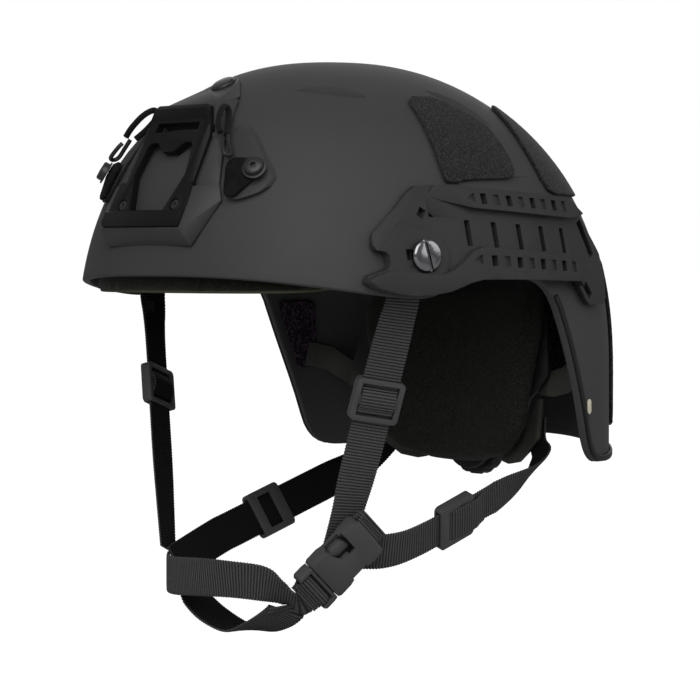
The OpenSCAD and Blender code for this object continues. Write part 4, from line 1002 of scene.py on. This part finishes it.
def bindPad(name, b):
    def spot(a, c):
        u = b["turn"][0] + b["turn"][1] * a * (1 - bindings["sideIn"] * c**4)
        return skin(u, b["rise"][0] + b["rise"][1] * c * (1 - bindings["endIn"] * a**8), bindings["depth"])

    steps = [-1 + i / 10 for i in range(20)]
    ring = [spot(a, -1) for a in steps] + [spot(1, c) for c in steps] + [spot(-a, 1) for a in steps]
    ring += [spot(-1, -c) for c in steps]
    tape, _, _ = makeTube(name, ring + ring[:1], bindings["thick"] / 2, spacing=1.5, around=10)
    return fitOn(tape, body=bodyOf[b["node"]], slot=slotOf[b["node"]], look=edgings["binding"])


for name, look in pads.items():
    pad = copyNode(look["node"], name)
    useModifier(pad, "REMESH", mode="VOXEL", voxel_size=look["voxel"] * mm)
    useModifier(pad, "SMOOTH", factor=0.5, iterations=3)
    blowUp(pad, look["pressure"], look["cap"])
    useModifier(pad, "SUBSURF", levels=1, render_levels=1)
    smooth(pad, 80)
    fitOn(pad, look["node"])
print("pads filled")


for name in ("browBinding", "sideBindingLeft", "sideBindingRight", "rearBinding"):
    bindPad(name, bindings[name])
print("pads bound")


# Lanyards: an elastic loop, the hook that it ends in, and the tab of webbing under the anchor's bolt
lanyard = {
    "route": [(34.8, 70.6, 5.4), (31.2, 74.8, 4.6), (28, 80, 4.8), (26.8, 83.4, 6.4), (27.2, 84.4, 8.8),
              (29.6, 81.6, 10.4), (33, 76, 10.6), (36, 71.6, 9.8)],
    "thick": 3,
    "hook": [(37.3, 70.4, 6.8), (39.4, 66.6, 6.4), (42.9, 61.8, 6), (44.2, 60.6, 7.7), (43.1, 61.9, 9.5),
             (39.8, 66.4, 9.5), (38.4, 68.6, 9)],
    "hookThick": 2.1,
    "tab": [(54.7, 54.5, 4.6), (45, 55.8, 3.8), (48.8, 45, 4)],
    "tabFace": 4.0,
    "tabThick": 1.7,
    "tabInset": 0.1,
}


def mirrored(points, side):
    return [(p.x * side, p.y, p.z) for p in points]


def layTab(name, t, side):
    middle = Vector((sum(x for x, _, _ in t["tab"]), sum(z for _, z, _ in t["tab"]))) / len(t["tab"])

    def rim(a):
        way = Vector((math.cos(2 * math.pi * a), math.sin(2 * math.pi * a)))
        x, z, radius = max(t["tab"], key=lambda disc: disc[0] * way.x + disc[1] * way.y + disc[2])
        return Vector((x, z)) + way * (radius - t["tabInset"])

    def place(a, b):
        spot = middle.lerp(rim(a), b)
        p = onFront(spot.x, spot.y, t["tabFace"] - t["tabInset"])
        return Vector((p.x * side, p.y, p.z))

    tab = addGrid(name, 72, 8, place)
    setLengths(tab, lambda u, v: (u * 20, v * 12))
    editAll(tab, lambda: mergeClose(0.02), outward)
    if sum(p.normal.y for p in tab.data.polygons) > 0:
        tab.data.flip_normals()
    useModifier(tab, "SOLIDIFY", thickness=t["tabThick"] * mm, offset=0)
    roundEdges(tab, 0.4, 60, clamp=False)
    return smooth(tab, 50)


for side, word in ((1, "Left"), (-1, "Right")):
    ending = "_" + word.lower()
    route = mirrored([onFront(*p) for p in lanyard["route"]], side)
    cord, path, length = makeTube("lanyardCord" + word, route, lanyard["thick"] / 2)
    fitOn(cord, "lanyard_cord" + ending)
    hookPath = mirrored([onFront(*p) for p in lanyard["hook"]], side)
    hook, _, _ = makeTube("lanyardHook" + word, hookPath, lanyard["hookThick"] / 2, spacing=0.4)
    fitOn(hook, "lanyard_hook" + ending)
    fitOn(layTab("lanyardTab" + word, lanyard, side), "lanyard_tab" + ending)
print("lanyards made")


# Buckle frame: its X runs to the tab, its Y across and its Z out
buckle = {
    "at": Vector((59.8, -52.4, -128.9)),
    "along": Vector((0.345615, 0.612089, 0.711265)),
    "across": Vector((0.084745, -0.775236, 0.625961)),
    "out": Vector((0.934542, -0.156065, -0.319804)),
    "tabBar": (13.5, -1.5),
    "plugBar": (-22.4, 0),
}


def onBuckle(x, y, z):
    return buckle["at"] + buckle["along"] * x + buckle["across"] * y + buckle["out"] * z


def roundBar(bar, route):
    return [(bar[0] + x, 0, bar[1] + z) for x, z in route]


# Each loop: its way round the bar, the node that it stands for and its body
loops = {
    "buckleTab": (
        roundBar(buckle["tabBar"], [(8.3, 0.85), (5.4, 0.95), (2.6, 1.9), (0, 2.85), (-2.4, 1.5), (-2.85, 0),
                                    (-2.4, -1.5), (0, -2.85), (2.6, -1.9), (5.4, -0.95), (8.3, -0.85)]),
        "buckle_tab",
        "helmet",
    ),
    "buckleTabTail": (
        [(-9, 0, -5.25), (0, 0, -5.25), (8, 0, -5.25), (12.4, 0, -5.3), (15.4, 0, -4.9), (18, 0, -4),
         (20.4, 0, -3.85)],
        "buckle_tab",
        "helmet",
    ),
    "chinStrapLoop": (
        roundBar(buckle["plugBar"], [(-6.2, 1.0), (-4.2, 1.1), (-2.2, 2.0), (0, 2.85), (2.6, 2.1), (3.9, 0.2),
                                     (3.9, -1.6), (2.6, -2.6), (0, -2.95), (-2.2, -2.1), (-4.2, -1.1),
                                     (-6.2, -1.0)]),
        "chin_strap",
        "buckle_male",
    ),
}
for name, (route, node, body) in loops.items():
    band = makeWebbing(name, [onBuckle(*p) for p in route], [buckle["across"]] * len(route), thick=1.35)
    paintInnerShade(fitOn(band, node, body=body))
print("loops on the buckle laid")


# Stitches: one bead of thread, copied along a line with its length turned along it
stitch = {"length": 1.25, "thick": 0.42, "gap": 1.75}


def sewLines(name, lines, out, body):
    bpy.ops.mesh.primitive_uv_sphere_add(segments=8, ring_count=5, radius=0.5)
    bead = nameIt("bead")
    bead.scale = (stitch["length"] * mm, stitch["thick"] * mm, stitch["thick"] * mm)
    settle(bead)
    beads = []
    for a, b in lines:
        run = b - a
        count = max(int(run.length / stitch["gap"]), 1)
        along = run.normalized()
        turn = Matrix((along, out.cross(along), out)).transposed().to_4x4()
        for i in range(count):
            copy = bpy.data.objects.new("stitch", bead.data.copy())
            bpy.context.scene.collection.objects.link(copy)
            copy.data.transform(Matrix.Translation((a + run * (i + 0.5) / count) * mm) @ turn)
            beads.append(copy)
    bpy.data.objects.remove(bead)
    pick(beads[0])
    for bead in beads:
        bead.select_set(True)
    bpy.ops.object.join()
    seam = nameIt(name)
    smooth(seam, 60)
    return fitOn(seam, body=body, slot="webbing", look=edgings["thread"])


def zigzag(x1, x2, z, half, turns):
    ys = [half * (2 * i / turns - 1) for i in range(turns + 1)]
    spots = [onBuckle(x2 if i % 2 else x1, y, z) for i, y in enumerate(ys)]
    return list(zip(spots, spots[1:]))


def straightRows(xs, z, half):
    return [(onBuckle(x, -half, z), onBuckle(x, half, z)) for x in xs]


tabSeam = zigzag(x1=17.2, x2=19.8, z=0.2, half=8, turns=9) + straightRows(xs=(20.7,), z=0.12, half=8)
chinSeam = straightRows(xs=(-28.4, -30.2), z=0.84, half=7.6)
sewLines("tabStitches", tabSeam, buckle["out"], "helmet")
sewLines("chinStitches", chinSeam, buckle["out"], "buckle_male")
print("seams sewn")


# Webbing that doubles over a slider's bar, in the slider's frame: along the strap and out from it
ladderRoute = [(-6.2, 2), (-5, 2), (-3.9, 2.6), (-2.2, 3.3), (0, 3.55), (2.2, 3.3), (3.9, 2.6), (5, 2),
               (6.2, 2)]
glideRoute = [(4.6, 1.5), (3.6, 1.9), (2, 2.6), (-1, 2.8), (-4, 3.2), (-8, 3.45), (-12.4, 3.4), (-15.5, 2.3),
              (-19, 1.55)]
folds = {
    "ladderFoldLeft": {
        "at": (77.72, -48.1, -54.29), "across": (0.43, 0.92, -0.08), "along": (-0.3259, -0.0264, -0.945),
        "body": "ladder_slider_left", "side": -1,
        "route": ladderRoute,
    },
    "ladderFoldRight": {
        "at": (-78.11, -56.03, -52.5), "across": (-0.42, 1, 0), "along": (0.3245, -0.1851, -0.9276),
        "body": "ladder_slider_right", "side": -1,
        "route": ladderRoute,
    },
    "glideFoldLeft": {
        "at": (62.85, 17.2, -115.83), "across": (0.4, 0, 1), "along": (-0.05, -0.9324, -0.358),
        "body": "glide_slider_left", "side": 1,
        "route": glideRoute,
    },
    "glideFoldRight": {
        "at": (-59.56, 4.84, -116.48), "across": (-0.4, 0, 1), "along": (0.1093, -0.9549, -0.2761),
        "body": "glide_slider_right", "side": -1,
        "route": glideRoute,
    },
}
foldSize = {"width": 17.2, "thick": 1.1}
for name, fold in folds.items():
    along = Vector(fold["along"])
    across = (Vector(fold["across"]) - along * Vector(fold["across"]).dot(along)).normalized()
    out = across.cross(along) * fold["side"]
    route = [Vector(fold["at"]) + along * y + out * z for y, z in fold["route"]]
    band = makeWebbing(name, route, [across] * len(route), **foldSize)
    paintInnerShade(fitOn(band, body=fold["body"], slot="webbing"))
print("slider folds laid")


# Floor and light: a wide soft light high on the camera's side does most of the work
stage = {
    "below": 2,
    "ambient": 0.26,
    "floorSize": 60,
    "floorTone": "#c0c0c0",
    "floorGlow": 0.95,
    "glowStrength": 1.1,
    "lights": {
        "keyLight": {"turn": -6, "rise": 34, "away": 2.0, "size": 1.8, "power": 29},
        "sideLight": {"turn": 75, "rise": 20, "away": 2.0, "size": 1.2, "power": 6},
        "backLight": {"turn": 175, "rise": 24, "away": 2.2, "size": 1.6, "power": 9},
    },
}


def makeStage(s):
    low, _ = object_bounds()
    bpy.ops.mesh.primitive_plane_add(size=s["floorSize"], location=(0, 0, low[2] - s["below"] * mm))
    floor = nameIt("floor")
    paint, tree, shader = newMaterial("pale studio floor", 0.95, specular=0.0)
    shader.inputs["Base Color"].default_value = tone(s["floorTone"])
    seen = addNode(tree, "ShaderNodeLightPath", (-100, 300))
    share = mathNode(tree, (100, 300), "MULTIPLY", seen.outputs["Is Camera Ray"], s["floorGlow"])
    white = {"Color": tone("#ffffff"), "Strength": s["glowStrength"]}
    glow = addNode(tree, "ShaderNodeEmission", (300, 250), white)
    both = addNode(tree, "ShaderNodeMixShader", (500, 150),
                   {0: share, 1: shader.outputs["BSDF"], 2: glow.outputs["Emission"]})
    tree.links.new(both.outputs[0], tree.nodes["Material Output"].inputs["Surface"])
    floor.data.materials.append(paint)
    settle(floor)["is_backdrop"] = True
    world = bpy.data.worlds.new("studio")
    bpy.context.scene.world = world
    world.use_nodes = True
    seen = addNode(world.node_tree, "ShaderNodeLightPath", (-500, 0))
    level = addNode(world.node_tree, "ShaderNodeMapRange", (-300, 0),
                    {"Value": seen.outputs["Is Camera Ray"], "To Min": s["ambient"], "To Max": 1.0})
    sky = world.node_tree.nodes["Background"]
    sky.inputs["Color"].default_value = (1, 1, 1, 1)
    world.node_tree.links.new(level.outputs["Result"], sky.inputs["Strength"])
    bpy.context.scene.view_settings.view_transform = "Standard"
    for name, lamp in s["lights"].items():
        az = math.radians(cameraPlace["azimuth"] + lamp["turn"])
        rise = math.radians(lamp["rise"])
        way = Vector((math.sin(az) * math.cos(rise), -math.cos(az) * math.cos(rise), math.sin(rise)))
        bpy.ops.object.light_add(type="AREA", location=way * lamp["away"])
        light = nameIt(name)
        light.data.shape = "SQUARE"
        light.data.size = lamp["size"]
        light.data.energy = lamp["power"]
        light.rotation_euler = way.to_track_quat("Z", "Y").to_euler()


makeStage(stage)
print("stage set")
